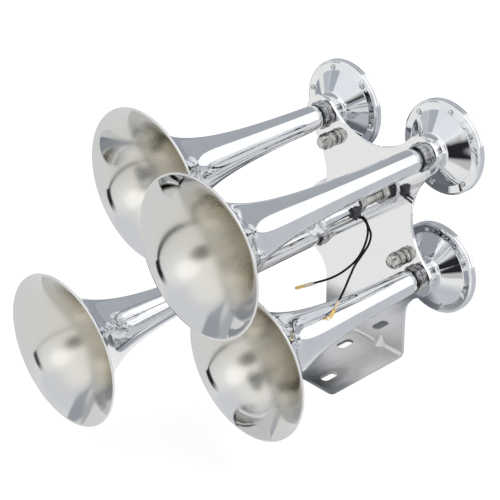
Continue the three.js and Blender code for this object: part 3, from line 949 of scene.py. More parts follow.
@dataclass
class Bracket:
    """The plate with four lobes, the bend and the slotted foot with two gussets."""

    lobe_radius: float = 18.6 * MM
    waist_radius: float = 62 * MM
    skirt_width: float = 98 * MM
    fillet_radius: float = 30 * MM
    bend_radius: float = 6 * MM
    foot_depth: float = 91 * MM
    corner_radius: float = 4 * MM
    slot_width: float = 9 * MM
    slot_length: float = 18 * MM
    rear_slot: float = 24 * MM
    front_slots: float = 73.6 * MM
    front_spacing: float = 56.4 * MM
    gusset_spacing: float = 44 * MM
    gusset_width: float = 18.6 * MM
    gusset_rise: float = 11.6 * MM
    gusset_reach: float = 8.5 * MM
    gusset_round: float = 2.2 * MM
    gusset_sink: float = 0.6 * MM
    edge_round: float = 0.4 * MM
    trumpet_hole: float = NECK_BORE
    valve_hole: float = STUB_BORE
    fitting_hole: float = 4.9 * MM
    hole_steps: int = 48
    arc_steps: tuple = (16, 28, 28, 32, 14)

    @property
    def bend_top(self) -> float:
        """The height of the bend's upper end, from the valve's axis."""
        return self.bend_radius - PATTERN_HEIGHT

    @property
    def bend_front(self) -> float:
        """Where the foot meets the bend, from the plate's front."""
        return SHEET - self.bend_radius

    def holes(self) -> list[tuple[float, float, float]]:
        """The plate's round holes.

        Returns:
            Each hole's place across and up from the valve's axis, and its radius.
        """
        sides = [(side * HALF_SPACING, level * HALF_SPACING) for level in (1, -1) for side in (-1, 1)]
        holes = [(across, up, self.trumpet_hole) for across, up in sides] + [(0.0, 0.0, self.valve_hole)]
        return holes + [(across, up, self.fitting_hole) for across, up in FITTING_PLACES.values()]

    @staticmethod
    def arc(
        bm: bmesh.types.BMesh, start: bmesh.types.BMVert, centre: tuple, angle: float, steps: int
    ) -> bmesh.types.BMVert:
        """Carries an outline on round an arc, anticlockwise seen from the bells, to a new last vertex."""
        made = bmesh.ops.spin(bm, geom=[start], cent=centre, axis=(0, -1, 0), angle=angle, steps=steps)
        return verts_of(made["geom_last"])[0]

    def half_outline(self, bm: bmesh.types.BMesh) -> None:
        """Draws the right half of the plate's outline, from the bend up to the middle of the top.

        Args:
            bm: The mesh.
        """
        half = HALF_SPACING
        waist = half + math.sqrt((self.waist_radius + self.lobe_radius) ** 2 - half**2)
        fillet_x = self.skirt_width / 2 + self.fillet_radius
        drop = math.sqrt((self.lobe_radius + self.fillet_radius) ** 2 - (fillet_x - half) ** 2)
        waist_angle = math.atan2(half, waist - half)
        fillet_angle = math.atan2(drop, half - fillet_x)
        start = bm.verts.new((self.skirt_width / 2, 0, self.bend_top))
        last = bm.verts.new((self.skirt_width / 2, 0, -half - drop))
        bm.edges.new((start, last))
        arcs = [
            ((fillet_x, 0, -half - drop), fillet_angle - math.pi),
            ((half, 0, -half), waist_angle - fillet_angle + math.pi),
            ((waist, 0, 0), -2 * waist_angle),
            ((half, 0, half), math.pi / 2 + 2 * waist_angle),
            ((0, 0, waist), -waist_angle),
        ]
        for (centre, angle), steps in zip(arcs, self.arc_steps):
            last = self.arc(bm, last, centre, angle, steps)

    def plate_face(self, bm: bmesh.types.BMesh) -> None:
        """Fills the plate's front face, with its holes.

        Args:
            bm: The mesh.
        """
        self.half_outline(bm)
        geom = bm.verts[:] + bm.edges[:]
        bmesh.ops.mirror(bm, geom=geom, matrix=Matrix.Identity(4), merge_dist=0.01 * MM, axis="X")
        bm.edges.new([v for v in bm.verts if abs(v.co.z - self.bend_top) < TOUCH])
        upright = Matrix.Rotation(math.pi / 2, 4, "X")
        for across, up, radius in self.holes():
            place = Matrix.Translation((across, 0, up)) @ upright
            bmesh.ops.create_circle(bm, segments=self.hole_steps, radius=radius, matrix=place)
        bmesh.ops.triangle_fill(bm, use_beauty=True, use_dissolve=False, edges=bm.edges[:])

    def slot(self, bm: bmesh.types.BMesh, across: float, along: float, height: float) -> None:
        """Draws one slot's outline on the foot.

        Args:
            bm: The mesh.
            across: The slot's middle in X.
            along: The slot's middle in Y.
            height: The foot's top.
        """
        straight = (self.slot_length - self.slot_width) / 2
        radius = self.slot_width / 2
        ends = []
        for side in (1, -1):
            start = bm.verts.new((across + side * radius, along + side * straight, height))
            centre = (across, along + side * straight, height)
            made = bmesh.ops.spin(bm, geom=[start], cent=centre, axis=(0, 0, 1), angle=math.pi, steps=18)
            ends.append((start, verts_of(made["geom_last"])[0]))
        bm.edges.new((ends[0][1], ends[1][0]))
        bm.edges.new((ends[1][1], ends[0][0]))

    def foot_face(self, bm: bmesh.types.BMesh) -> None:
        """Fills the foot's top face, with its slots.

        Args:
            bm: The mesh.
        """
        half, back, front = self.skirt_width / 2, self.bend_front, -self.foot_depth
        height = SHEET - PATTERN_HEIGHT
        places = ((half, back), (half, front), (-half, front), (-half, back))
        corners = [bm.verts.new((x, y, height)) for x, y in places]
        for first, second in zip(corners, corners[1:] + corners[:1]):
            bm.edges.new((first, second))
        rounded(bm, corners[1:3], self.corner_radius, 8, affect="VERTICES")
        self.slot(bm, 0, -self.rear_slot, height)
        for side in (-1, 1):
            self.slot(bm, side * self.front_spacing / 2, -self.front_slots, height)
        bmesh.ops.triangle_fill(bm, use_beauty=True, use_dissolve=False, edges=bm.edges[:])

    def bend(self, bm: bmesh.types.BMesh) -> None:
        """Sweeps the plate's lower edge round to the foot's top face.

        Args:
            bm: The mesh.
        """
        ends = [bm.verts.new((side * self.skirt_width / 2, 0, self.bend_top)) for side in (-1, 1)]
        edge = bm.edges.new(ends)
        centre = (0, self.bend_front, self.bend_top)
        bmesh.ops.spin(bm, geom=ends + [edge], cent=centre, axis=(-1, 0, 0), angle=math.pi / 2, steps=12)

    def build(self) -> None:
        """Builds the folded sheet with its darts."""
        solid = Solid()
        for draw in (self.plate_face, self.foot_face, self.bend):
            part = bmesh.new()
            draw(part)
            solid.joined(part)
        bmesh.ops.remove_doubles(solid.bm, verts=solid.bm.verts[:], dist=0.01 * MM)
        bmesh.ops.recalc_face_normals(solid.bm, faces=solid.bm.faces[:])
        self.face_forward(solid.bm)
        self.thicken(solid.bm)
        solid.moved(VALVE_AXIS)
        self.gussets(solid)
        solid.finished("sheet_bracket", [PLATE], ["bracket"], "plate_steel", 20)

    @staticmethod
    def face_forward(bm: bmesh.types.BMesh) -> None:
        """Turns the faces so that the plate's front looks towards the bells.

        Args:
            bm: The mesh.
        """
        upright = max(bm.faces, key=lambda face: abs(face.normal.y) * face.calc_area())
        if upright.normal.y > 0:
            bmesh.ops.reverse_faces(bm, faces=bm.faces[:])

    def thicken(self, bm: bmesh.types.BMesh) -> None:
        """Gives the sheet its thickness behind and below, then rounds its edges.

        Args:
            bm: The mesh.
        """
        bmesh.ops.solidify(bm, geom=bm.faces[:], thickness=SHEET)
        bmesh.ops.recalc_face_normals(bm, faces=bm.faces[:])
        rounded(bm, folds(bm, 60), self.edge_round, 3, clamp_overlap=True)

    def gussets(self, solid: Solid) -> None:
        """Adds the two pressed darts in the bend.

        Args:
            solid: The sheet, in its place.
        """
        half, sink = self.gusset_width / 2, self.gusset_sink
        floor = Vector((0, PLATE_FRONT, SHEET))
        for side in (-1, 1):
            across = side * self.gusset_spacing / 2
            dart = bmesh.new()
            corners = [
                (across - half, sink, -sink), (across + half, sink, -sink),
                (across, sink, self.gusset_rise), (across, -self.gusset_reach, -sink),
            ]
            verts = [dart.verts.new(Vector(c) + floor) for c in corners]
            bmesh.ops.convex_hull(dart, input=verts)
            ridge = [e for e in dart.edges if verts[3] in e.verts and verts[2] in e.verts]
            rounded(dart, ridge, self.gusset_round, 5)
            solid.joined(dart)


@dataclass
class Valve:
    """The electric valve in the middle of the plate."""

    hex_across: float = 20 * MM
    can_radius: float = CAN_RADIUS
    can_back: float = 24 * MM
    can_front: float = 62.5 * MM
    cap_skirt: float = 3.4 * MM
    cap_crown: float = 8 * MM
    guide_radius: float = 7 * MM
    guide_bore: float = 5.6 * MM
    air_bore: float = 3.2 * MM
    stub_radius: float = 8 * MM
    stub_end: float = 13 * MM
    thread_front: float = -10 * MM
    thread_pitch: float = 1.2 * MM
    thread_depth: float = 0.45 * MM
    hex_back: float = -11 * MM
    hex_front: float = -18 * MM
    guide_end: float = -60.1 * MM
    chamfer: float = 1 * MM
    nut_across: float = 22 * MM
    nut_front: float = 3.3 * MM
    nut_back: float = 8.3 * MM
    nut_bore: float = STUB_BORE
    bushing_radius: float = 10.5 * MM
    bushing_back: float = -18.3 * MM
    bushing_front: float = -23.7 * MM
    groove: float = 0.8 * MM
    can_wall: float = 1.2 * MM
    core_radius: float = 5.3 * MM
    core_back: float = 48 * MM
    boss_radius: float = 5.2 * MM
    boss_ring: float = 0.9 * MM
    dome_share: float = 0.86
    dome_steps: int = 12

    def body(self) -> None:
        """Builds the body: threaded stub, hexagon and guide tube."""
        outline = [(self.air_bore, self.stub_end), (self.stub_radius, self.stub_end)]
        along = self.stub_end - 1 * MM
        while along > self.thread_front:
            outline.append((self.stub_radius, along))
            outline.append((self.stub_radius - self.thread_depth, along - self.thread_pitch / 2))
            along -= self.thread_pitch
        outline.append((self.stub_radius, self.hex_back))
        outline += hex_edge(self.hex_across, self.hex_back, self.hex_front, self.chamfer)
        floor = self.hex_front + 1 * MM
        outline += [
            (self.guide_radius, self.hex_front), (self.guide_radius, self.guide_end),
            (self.guide_bore, self.guide_end), (self.guide_bore, floor), (self.air_bore, floor),
        ]
        solid = Solid().lathe(outline, closed=True, rounds={1: 0.6 * MM})
        solid.hexed(self.hex_across, self.hex_front, self.hex_back)
        solid.moved(VALVE_AXIS).finished("valve_stem", [NICKEL], ["valve_body"], "nickel", 28)

    def lock_nut(self) -> None:
        """Builds the nut behind the plate."""
        front, back = self.nut_front, self.nut_back
        edge = hex_edge(self.nut_across, front, back, self.chamfer, share=0.6)
        outline = [(self.nut_bore, front)] + edge + [(self.nut_bore, back)]
        solid = Solid().lathe(outline, closed=True, rounds={5: 0.4 * MM})
        solid.hexed(self.nut_across, front, back)
        solid.moved(VALVE_AXIS).finished("valve_nut", [NICKEL], ["valve_lock_nut"], "nickel", 24)

    def bushing(self) -> None:
        """Builds the grooved black bushing under the can."""
        inner, outer = self.guide_radius + GAP, self.bushing_radius
        back, front = self.bushing_back, self.bushing_front
        outline = [
            (inner, back), (outer, back), (outer, back - 1.9 * MM), (outer - self.groove, back - 2.2 * MM),
            (outer - self.groove, back - 3.1 * MM), (outer, back - 3.4 * MM), (outer, front), (inner, front),
        ]
        solid = Solid().lathe(outline, closed=True, rounds={1: 0.5 * MM, 6: 0.5 * MM}, steps=72)
        solid.moved(VALVE_AXIS).finished(
            "bushing_ring", [BLACK_PLASTIC], ["coil_bushing"], "black_plastic", 30
        )

    def can(self) -> None:
        """Builds the coil can."""
        inner, floor = self.guide_radius + GAP, -self.can_back - 2 * self.can_wall
        outline = [
            (inner, -self.can_back), (self.can_radius, -self.can_back), (self.can_radius, -self.can_front),
            (self.can_radius - self.can_wall, -self.can_front), (self.can_radius - self.can_wall, floor),
            (inner, floor),
        ]
        solid = Solid().lathe(outline, closed=True, rounds={1: 2.4 * MM, 2: 0.3 * MM}, steps=120)
        solid.moved(VALVE_AXIS).finished("can_shell", [CHROME], ["coil_can"], "chrome", 34)

    def cap(self) -> None:
        """Builds the domed end cap with its core."""
        back = self.can_front + GAP
        shoulder = back + self.cap_skirt
        rise, boss, ring = self.cap_crown * self.dome_share, self.boss_radius, self.boss_ring
        outline = [
            (0, -self.core_back), (self.core_radius, -self.core_back), (self.core_radius, -back),
            (self.can_radius, -back), (self.can_radius, -shoulder),
        ]
        for i in range(1, self.dome_steps + 1):
            angle = math.pi / 2 * i / self.dome_steps
            radius = boss + (self.can_radius - boss) * math.cos(angle)
            outline.append((radius, -shoulder - rise * math.sin(angle)))
        outline += [
            (boss, -shoulder - rise + ring), (boss - ring, -shoulder - rise + ring),
            (boss - ring, -shoulder - self.cap_crown), (0, -shoulder - self.cap_crown),
        ]
        solid = Solid().lathe(outline, rounds={3: 0.3 * MM, 19: 0.6 * MM}, steps=120)
        solid.moved(VALVE_AXIS).finished("cap_dome", [CHROME], ["end_cap"], "chrome", 34)

    def build(self) -> None:
        """Builds the valve's outer pieces and finishes the inner ones."""
        self.body()
        self.lock_nut()
        self.bushing()
        self.can()
        self.cap()
        dress("coil_winding", COPPER)
        dress("plunger", SPRING_STEEL)
        dress("return_spring", SPRING_STEEL)


@dataclass
class LeadClip:
    """The black saddle clip on the can, where both leads come out."""

    length: float = 8.4 * MM
    height: float = 11.8 * MM
    lobe: float = 1.8 * MM
    waist: float = 0.68
    face: float = 19.5 * MM
    setback: float = 31.9 * MM
    raised: float = 1 * MM
    can_radius: float = CAN_RADIUS
    border: float = 1.3 * MM
    hollow: float = 0.5 * MM
    edge_round: float = 0.3 * MM

    def build(self) -> None:
        """Builds the clip: four round lobes with waists between them, raised round a shallow hollow."""
        solid = Solid()
        bm = solid.bm
        along, up = self.length / 2 - self.lobe, self.height / 2 - self.lobe
        waist_along, waist_up = self.length / 2 * self.waist, self.height / 2 * self.waist
        inner = self.can_radius + GAP
        middle = Vector((inner, -self.setback, self.raised))
        lobes = [(along, up), (-along, up), (-along, -up), (along, -up)]
        waists = [(0, waist_up), (-waist_along, 0), (0, -waist_up), (waist_along, 0)]
        first = last = None
        for quarter, (lobe, waist) in enumerate(zip(lobes, waists)):
            centre = middle + Vector((0, *lobe))
            turn = Matrix.Rotation((2 * quarter - 1) * math.pi / 4, 3, "X")
            start = bm.verts.new(centre + turn @ Vector((0, self.lobe, 0)))
            if last is None:
                first = start
            else:
                bm.edges.new((last, start))
            made = bmesh.ops.spin(bm, geom=[start], cent=centre, axis=(1, 0, 0), angle=math.pi, steps=10)
            last = bm.verts.new(middle + Vector((0, *waist)))
            bm.edges.new((verts_of(made["geom_last"])[0], last))
        bm.edges.new((last, first))
        face = bmesh.ops.contextual_create(bm, geom=bm.edges[:])["faces"][0]
        moved = bmesh.ops.extrude_face_region(bm, geom=[face])
        bmesh.ops.translate(bm, vec=(self.face - inner, 0, 0), verts=verts_of(moved["geom"]))
        bmesh.ops.recalc_face_normals(bm, faces=bm.faces[:])
        outer = max(bm.faces, key=lambda f: f.calc_center_median().x)
        bmesh.ops.inset_region(bm, faces=[outer], thickness=self.border, depth=0.0)
        bmesh.ops.translate(bm, vec=(-self.hollow, 0, 0), verts=outer.verts[:])
        rounded(bm, folds(bm, 40), self.edge_round, 2, clamp_overlap=True)
        solid.moved(VALVE_AXIS).finished("clip_saddle", [BLACK_PLASTIC], ["lead_clip"], "black_plastic", 36)


@dataclass
class Lead:
    """One free lead: its route, the clear sleeve and the crimped terminal at its end."""

    name: str
    route: list[tuple[float, float, float]]
    bent: bool = False
    diameter: float = 2 * MM
    sleeve_length: float = 8.6 * MM
    sleeve_radius: float = 1.9 * MM
    blade_length: float = 8.4 * MM
    blade_width: float = 3 * MM
    blade_thickness: float = 0.8 * MM
    blade_round: float = 0.12 * MM
    barrel_radius: float = 1.4 * MM
    neck: float = 1.1 * MM
    overlap: float = 1.5 * MM
    bend_degrees: float = -38
    outward: tuple = (0.64, -0.59, 0.49)

    def centreline(self) -> list[Vector]:
        """The route's points in metres."""
        return [Vector(point) * MM for point in self.route]

    def wire(self) -> bpy.types.Object:
        """Builds the insulated wire as a curve.

        Returns:
            The finished piece.
        """
        points = self.centreline()
        curve = bpy.data.curves.new(f"wire_{self.name}", "CURVE")
        curve.dimensions = "3D"
        curve.bevel_depth = self.diameter / 2
        curve.bevel_resolution = 4
        curve.resolution_u = 8
        curve.use_fill_caps = True
        spline = curve.splines.new("BEZIER")
        spline.bezier_points.add(len(points) - 1)
        for bezier, point in zip(spline.bezier_points, points):
            bezier.co = point
            bezier.handle_left_type = bezier.handle_right_type = "AUTO"
        piece = placed(f"wire_{self.name}", curve)
        curve.materials.append(INSULATION.material())
        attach(piece, BODY)
        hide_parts(f"lead_{self.name}")
        return piece

    def aligned(self, solid: Solid) -> Solid:
        """Turns a shape made along +Y from the origin onto the wire's end, its Z side out to the front right.

        Args:
            solid: The shape.

        Returns:
            The same shape in place.
        """
        points = self.centreline()
        direction = (points[-1] - points[-2]).normalized()
        across = direction.cross(Vector(self.outward)).normalized()
        turn = Matrix((across, direction, across.cross(direction))).transposed()
        return solid.turned(turn).moved(points[-1])

    def sleeve(self) -> bpy.types.Object:
        """Builds the clear sleeve over the crimp.

        Returns:
            The finished piece.
        """
        inner = self.sleeve_radius - 0.35 * MM
        start, end = -1.2 * MM, self.sleeve_length
        outline = [(inner, start), (self.sleeve_radius, start), (self.sleeve_radius, end), (inner, end)]
        solid = Solid().lathe(outline, closed=True, rounds={1: 0.15 * MM, 2: 0.15 * MM}, steps=32)
        return self.aligned(solid).finished(
            f"sleeve_{self.name}", [SLEEVE], [], "lead_insulation", 50, flat_normals=False
        )

    def terminal(self) -> bpy.types.Object:
        """Builds the brass barrel and blade.

        Returns:
            The finished piece.
        """
        radius, end = self.barrel_radius, self.sleeve_length
        barrel = [(0, GAP), (radius, GAP), (radius, end), (0, end)]
        solid = Solid().lathe(barrel, rounds={1: 0.3 * MM, 2: 0.3 * MM}, steps=24)
        start = self.sleeve_length - self.overlap
        tip = self.sleeve_length + self.blade_length
        half = self.blade_width / 2
        side = [(self.neck, start), (half, start + 2.6 * MM), (half, tip - 1.4 * MM), (half * 0.5, tip)]
        corners = [(-x, y) for x, y in side] + side[::-1]
        blade = bmesh.new()
        face = blade.faces.new([blade.verts.new((x, y, -self.blade_thickness / 2)) for x, y in corners])
        moved = bmesh.ops.extrude_face_region(blade, geom=[face])
        bmesh.ops.translate(blade, vec=(0, 0, self.blade_thickness), verts=verts_of(moved["geom"]))
        bmesh.ops.recalc_face_normals(blade, faces=blade.faces[:])
        if self.bent:
            self.bend_blade(blade, start + 3.4 * MM)
        rounded(blade, folds(blade, 50), self.blade_round, 2, clamp_overlap=True)
        return self.aligned(solid.joined(blade)).finished(
            f"blade_{self.name}", [BRASS], [f"terminal_{self.name}"], "brass", 30
        )

    def bend_blade(self, blade: bmesh.types.BMesh, place: float) -> None:
        """Bends a blade's outer part to one side.

        Args:
            blade: The blade's mesh.
            place: Where the bend is, along Y.
        """
        geom = blade.verts[:] + blade.edges[:] + blade.faces[:]
        bmesh.ops.bisect_plane(blade, geom=geom, plane_co=(0, place, 0), plane_no=(0, 1, 0), dist=TOUCH)
        outer = [v for v in blade.verts if v.co.y > place + DOUBLES]
        turn = Matrix.Rotation(math.radians(self.bend_degrees), 3, "X")
        bmesh.ops.rotate(blade, cent=(0, place, 0), matrix=turn, verts=outer)

    def build(self) -> None:
        wire = self.wire()
        sleeve = self.sleeve()
        terminal = self.terminal()


@dataclass
class AirFitting:
    """A plugged air fitting: knurled sleeve, ring and faceted domed cap."""

    name: str
    stem_radius: float = 4.6 * MM
    stem_length: float = 0.5 * MM
    knurl_radius: float = 7.1 * MM
    knurl_length: float = 5 * MM
    knurl_teeth: int = 26
    knurl_depth: float = 0.3 * MM
    ring_radius: float = 7.7 * MM
    ring_length: float = 1.4 * MM
    cap_across: float = 13.2 * MM
    cap_radius: float = 7.3 * MM
    cap_length: float = 8.3 * MM
    tail: float = 6 * MM
    groove: float = 0.7 * MM

    def build(self) -> None:
        """Builds the fitting."""
        base = -self.stem_length
        knurl_front = base - self.knurl_length
        ring_front = knurl_front - self.ring_length
        tip = ring_front - self.cap_length
        knurl, waist = self.knurl_radius, self.knurl_radius - self.groove
        outline = [
            (0, self.tail), (self.stem_radius, self.tail), (self.stem_radius, base), (knurl, base),
            (knurl, base - 0.8 * MM), (waist, base - 0.8 * MM),
            (waist, base - 1.2 * MM), (knurl, base - 1.3 * MM),
            (knurl, knurl_front + 0.4 * MM), (waist, knurl_front + 0.3 * MM), (waist, knurl_front),
            (self.ring_radius, knurl_front), (self.ring_radius, ring_front), (waist, ring_front),
            (waist, ring_front - 0.4 * MM), (self.cap_radius, ring_front - 0.9 * MM),
            (self.cap_radius, tip + 3.4 * MM), (self.cap_radius * 0.78, tip + 1.2 * MM),
            (self.cap_radius * 0.36, tip), (0, tip),
        ]
        rounds = {3: 0.3 * MM, 11: 0.4 * MM, 12: 0.4 * MM, 18: 0.8 * MM}
        solid = Solid().lathe(outline, rounds=rounds, steps=4 * self.knurl_teeth)
        self.knurl(solid, knurl_front + 0.35 * MM, base - 1.25 * MM)
        solid.hexed(self.cap_across, tip, ring_front - 0.5 * MM)
        across, up = FITTING_PLACES[self.name]
        solid.moved(VALVE_AXIS + Vector((across, 0, up))).finished(
            f"plug_{self.name}", [NICKEL], [f"air_fitting_{self.name}"], "nickel", 22
        )

    def knurl(self, solid: Solid, low: float, high: float) -> None:
        """Cuts straight teeth into the sleeve.

        Args:
            solid: The turned fitting.
            low: Where the teeth start along Y.
            high: Where they end.
        """
        for vert in solid.bm.verts:
            radius, angle = polar(vert)
            if low <= vert.co.y <= high and radius > self.knurl_radius - 0.2 * MM:
                wave = math.cos(self.knurl_teeth * angle)
                drawn_in(vert, 1 - self.knurl_depth * (1 - wave) / 2 / radius)


@dataclass
class Studio:
    """Camera, floor, soft light and the surroundings that the metal reflects."""

    place: Vector = field(default_factory=lambda: Vector((0.90941, -0.93849, 0.83889)))
    azimuth: float = 47.1487
    elevation: float = 29.2583
    roll: float = -0.2934
    lens: float = 121.061
    shift_x: float = 0.0015
    shift_y: float = 0.0098
    floor_size: float = 8.0
    floor_colour: tuple = (0.34, 0.34, 0.34)
    floor_glow: float = 0.80
    bounce: tuple = (0.80, 0.80, 0.80)
    pale: tuple = (0.90, 0.90, 0.89)
    grey_left: tuple = (0.34, 0.36, 0.40)
    grey_right: tuple = (0.58, 0.60, 0.63)
    # the painted shadow under the tubes, seen only in the metal
    dusk: tuple = (0.07, 0.074, 0.084)
    black: tuple = (0.02, 0.02, 0.024)
    ambient: tuple = (0.55, 0.55, 0.56)

    def camera(self) -> None:
        """Makes the camera at the photograph's angle."""
        data = bpy.data.cameras.new("camera")
        data.lens = self.lens
        data.sensor_width = 36.0
        data.shift_x = self.shift_x
        data.shift_y = self.shift_y
        data.clip_start, data.clip_end = 0.05, 50.0
        camera = placed("camera", data)
        azimuth, elevation = math.radians(self.azimuth), math.radians(self.elevation)
        level = math.cos(elevation)
        back = Vector((math.sin(azimuth) * level, -math.cos(azimuth) * level, math.sin(elevation)))
        turn = (-back).to_track_quat("-Z", "Y").to_matrix() @ Matrix.Rotation(math.radians(self.roll), 3, "Z")
        camera.matrix_world = Matrix.Translation(self.place) @ turn.to_4x4()
        bpy.context.scene.camera = camera

    def floor_tone(self, x: Wire, y: Wire) -> Wire:
        """The floor's colour as the metal sees it: pale in front, grey behind, and dark under the tubes,
        where the horn's shadow is painted.

        Args:
            x: The place across.
            y: The place along.

        Returns:
            The colour.
        """
        graph = x.graph
        grey = graph.blend(graph.step(x, 0.0, 0.05), rgb(*self.grey_left), rgb(*self.grey_right))
        near = graph.window(x, (-0.06, -0.03), (0.0, 0.03))
        far = 1 - graph.step(x, -0.06, -0.03)
        behind = graph.step(y + near * 0.10 - far * 0.05, -0.05, 0.03)
        tone = graph.blend(behind, rgb(*self.pale), grey)
        # painted shadow of the horn on the floor under the tubes, seen only in the metal
        under = graph.window(x, (-0.26, -0.18), (0.0, 0.05)) * graph.window(y, (-0.01, 0.02), (0.26, 0.36))
        tone = graph.blend(under * 0.68, tone, rgb(*self.dusk))
        aside = (x + y * 0.32 - 0.14) / (0.025 - y * 0.03)
        strip = (1 - graph.step(aside * aside, 0.3, 1.4)) * (1 - graph.step(y, -0.14, -0.10))
        faded = 1 - graph.step(y, -0.42, -0.24) * 0.6
        return graph.blend(strip * faded, tone, rgb(*self.black))

    def floor(self) -> None:
        """Makes the floor: white to the camera but for the horn's shadow, and toned to the metal."""
        bm = bmesh.new()
        bmesh.ops.create_grid(bm, x_segments=1, y_segments=1, size=self.floor_size)
        mesh = bpy.data.meshes.new("floor")
        bm.to_mesh(mesh)
        bm.free()
        material = bpy.data.materials.new("floor_paper")
        material.use_nodes = True
        graph = Graph(material.node_tree)
        x, y, _ = graph.axes(graph.place())
        paper = graph.out("ShaderNodeBsdfDiffuse", None, {"Color": rgb(*self.bounce)})
        shaded = graph.out("ShaderNodeBsdfDiffuse", None, {"Color": rgb(*self.floor_colour)})
        glow = graph.out("ShaderNodeEmission", None, {"Color": rgb(1, 1, 1), "Strength": self.floor_glow})
        both = graph.out("ShaderNodeAddShader", None, {0: shaded, 1: glow})
        image = graph.out("ShaderNodeEmission", None, {"Color": self.floor_tone(x, y), "Strength": 1.0})
        unseen = graph.out("ShaderNodeMixShader", None, {0: graph.rays("Glossy"), 1: paper, 2: image})
        mixed = graph.out("ShaderNodeMixShader", None, {0: graph.rays("Camera"), 1: unseen, 2: both})
        graph.add("ShaderNodeOutputMaterial", None, {"Surface": mixed})
        mesh.materials.append(material)
        placed("floor", mesh)

    def lamp(self, name: str, place: tuple, size: float, power: float) -> None:
        """Makes a large soft lamp that points at the horn's middle.

        Args:
            name: The lamp's name.
            place: Where it stands.
            size: The side of its square.
            power: Its power in watts.
        """
        data = bpy.data.lights.new(name, "AREA")
        data.shape = "SQUARE"
        data.size = size
        data.energy = power
        lamp = placed(name, data)
        lamp.location = place
        lamp.rotation_mode = "QUATERNION"
        lamp.rotation_quaternion = (VIEWED - Vector(place)).to_track_quat("-Z", "Y")
        lamp.visible_glossy = False

    def front_half(self, x: Wire, y: Wire, z: Wire) -> Wire:
        """The room in front of the bells: a pale wall with grey, cool, white and dark panels.

        Args:
            x: The direction's part across.
            y: Its part along.
            z: Its part upwards.

        Returns:
            The colour.
        """
        graph = x.graph
        front = graph.blend(graph.step(z, 0.02, 0.30), rgb(0.92, 0.92, 0.91), rgb(1.05, 1.05, 1.05))
        softbox = graph.step(x * 0.42 - y * 0.737 + z * 0.53, 0.95, 0.99)
        shade = graph.step(x * 0.80 - y * 0.38 + z * 0.46, 0.93, 0.985)
        aside = (x + z * 0.78 - 0.29) / 0.05
        band = (1 - graph.step(aside * aside, 0.3, 1.4)) * graph.window(z, (-0.05, -0.02), (0.14, 0.30))
        side = 1 - graph.step(x, -0.90, -0.80)
        cool = graph.window(z, (0.12, 0.30), (0.52, 0.70)) * (1 - graph.step(x, -0.05, 0.22))
        panel = graph.window(x, (-0.90, -0.86), (-0.70, -0.66)) * graph.window(z, (0.05, 0.12), (0.42, 0.52))
        panels = [
            (side, (0.55, 0.57, 0.60)), (cool, (0.86, 0.88, 0.92)), (panel, (0.44, 0.47, 0.52)),
            (softbox, (1.36, 1.36, 1.35)), (shade, (0.16, 0.16, 0.155)), (band, self.black),
        ]
        for mask, colour in panels:
            front = graph.blend(mask, front, rgb(*colour))
        return front

    def back_half(self, graph: Graph, x: Wire, z: Wire) -> Wire:
        """The room behind the horn: grey panels round its long axis, with one white window.

        Args:
            graph: The world's graph.
            x: The direction's part across.
            z: Its part upwards.

        Returns:
            The colour.
        """
        around = graph.out("ShaderNodeMath", {"operation": "ARCTAN2"}, {0: z, 1: x}) / (2 * math.pi) + 0.5
        grey, white = rgb(0.42, 0.445, 0.475), rgb(1.2, 1.2, 1.2)
        stops = [
            (0.00, grey), (0.40, rgb(0.30, 0.32, 0.35)), (0.498, rgb(0.48, 0.50, 0.54)), (0.506, white),
            (0.733, white), (0.742, grey), (1.00, grey),
        ]
        return graph.out("ShaderNodeValToRGB", {"stops": stops}, {0: around})

    def surroundings(self) -> None:
        """Makes the world: white to the camera, panels of white and grey to the metal."""
        world = bpy.data.worlds.new("studio")
        bpy.context.scene.world = world
        world.use_nodes = True
        graph = Graph(world.node_tree)
        x, y, z = graph.axes(graph.out("ShaderNodeTexCoord", output="Generated"))
        front, back = self.front_half(x, y, z), self.back_half(graph, x, z)
        halves = graph.blend(graph.step(y, -0.12, 0.12), front, back)
        plain = graph.rays("Camera") + graph.rays("Transmission")
        ambient = graph.blend(plain, rgb(*self.ambient), rgb(1, 1, 1))
        colour = graph.blend(graph.rays("Glossy"), ambient, halves)
        background = graph.out("ShaderNodeBackground", None, {"Color": colour, "Strength": 1.0})
        graph.add("ShaderNodeOutputWorld", None, {"Surface": background})

    def build(self) -> None:
        """Makes the floor, lamps and surroundings, and sets the view transform."""
        self.floor()
        self.lamp("key", (1.6, 0.9, 2.1), size=1.6, power=38)
        self.lamp("fill", (-1.8, -1.2, 1.6), size=1.8, power=16)
        self.surroundings()
        bpy.context.scene.view_settings.view_transform = "Standard"


# each trumpet's length and its driver's screws' turn in degrees
TRUMPETS = {
    Place.UPPER_LEFT: (208.7 * MM, 48),
    Place.UPPER_RIGHT: (255.4 * MM, 16.5),
    Place.LOWER_LEFT: (301.8 * MM, 30),
    Place.LOWER_RIGHT: (206 * MM, 47.3),
}
# each lead's middle line in millimetres, from the clip to the terminal
LEAD_ROUTES = {
    "left": [
        (19.8, 19.6, 146), (22.8, 19.5, 145.9), (26, 19.1, 145), (29.6, 18.2, 143.2),
        (33.2, 15.8, 139.5), (35.4, 12.8, 134.8), (36.5, 9.2, 129.3), (36.8, 5.6, 124.4),
        (36.6, 1.4, 119.8), (35.6, -2.2, 116), (34, -5.9, 112.6), (31.6, -9.8, 109),
        (28.9, -13.6, 105.7), (25.9, -17.5, 103), (22.6, -21.4, 100.7), (18.2, -26.2, 98.5),
        (13.4, -31, 96.2),
    ],
    "right": [
        (19.8, 22.6, 145.2), (22.6, 22.5, 144.7), (26.9, 21.2, 142.2), (31.8, 18.9, 139.5),
        (36.2, 16.4, 137.2), (39.7, 12.2, 134.3), (42.6, 7, 132.2), (45.2, 0.2, 130.3),
        (47.6, -7, 128.6), (49.8, -13, 127.6), (52.6, -19.6, 126.9), (55.8, -25.8, 126.2),
        (59.4, -32.2, 125.2), (63, -39, 123.6), (66.4, -46, 121), (69.1, -52.8, 117.6),
        (71.2, -59.2, 113.9),
    ],
}


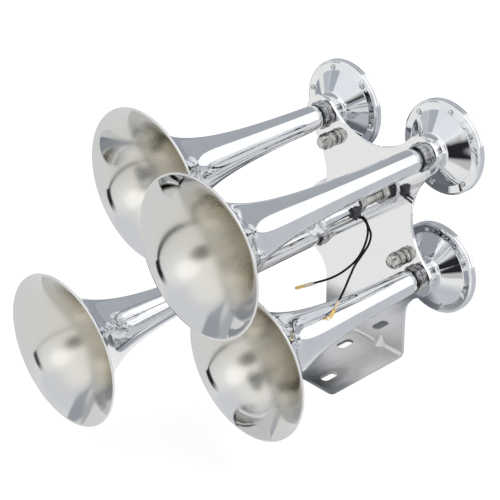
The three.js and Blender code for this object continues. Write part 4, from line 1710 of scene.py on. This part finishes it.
def main() -> None:
    """Builds the camera, the leads and every sub-assembly, in order."""
    logging.basicConfig(level=logging.INFO, format="%(name)s: %(message)s")
    studio = Studio()
    studio.camera()
    for name, route in LEAD_ROUTES.items():
        Lead(name, route, bent=name == "right").build()
    for place, (length, screw_turn) in TRUMPETS.items():
        Trumpet(place, length).build()
        LockNut(place).build()
        Driver(place, screw_turn).build()
    Bracket().build()
    Valve().build()
    LeadClip().build()
    for name in FITTING_PLACES:
        AirFitting(name).build()
    studio.build()


if __name__ == "__main__":
    main()
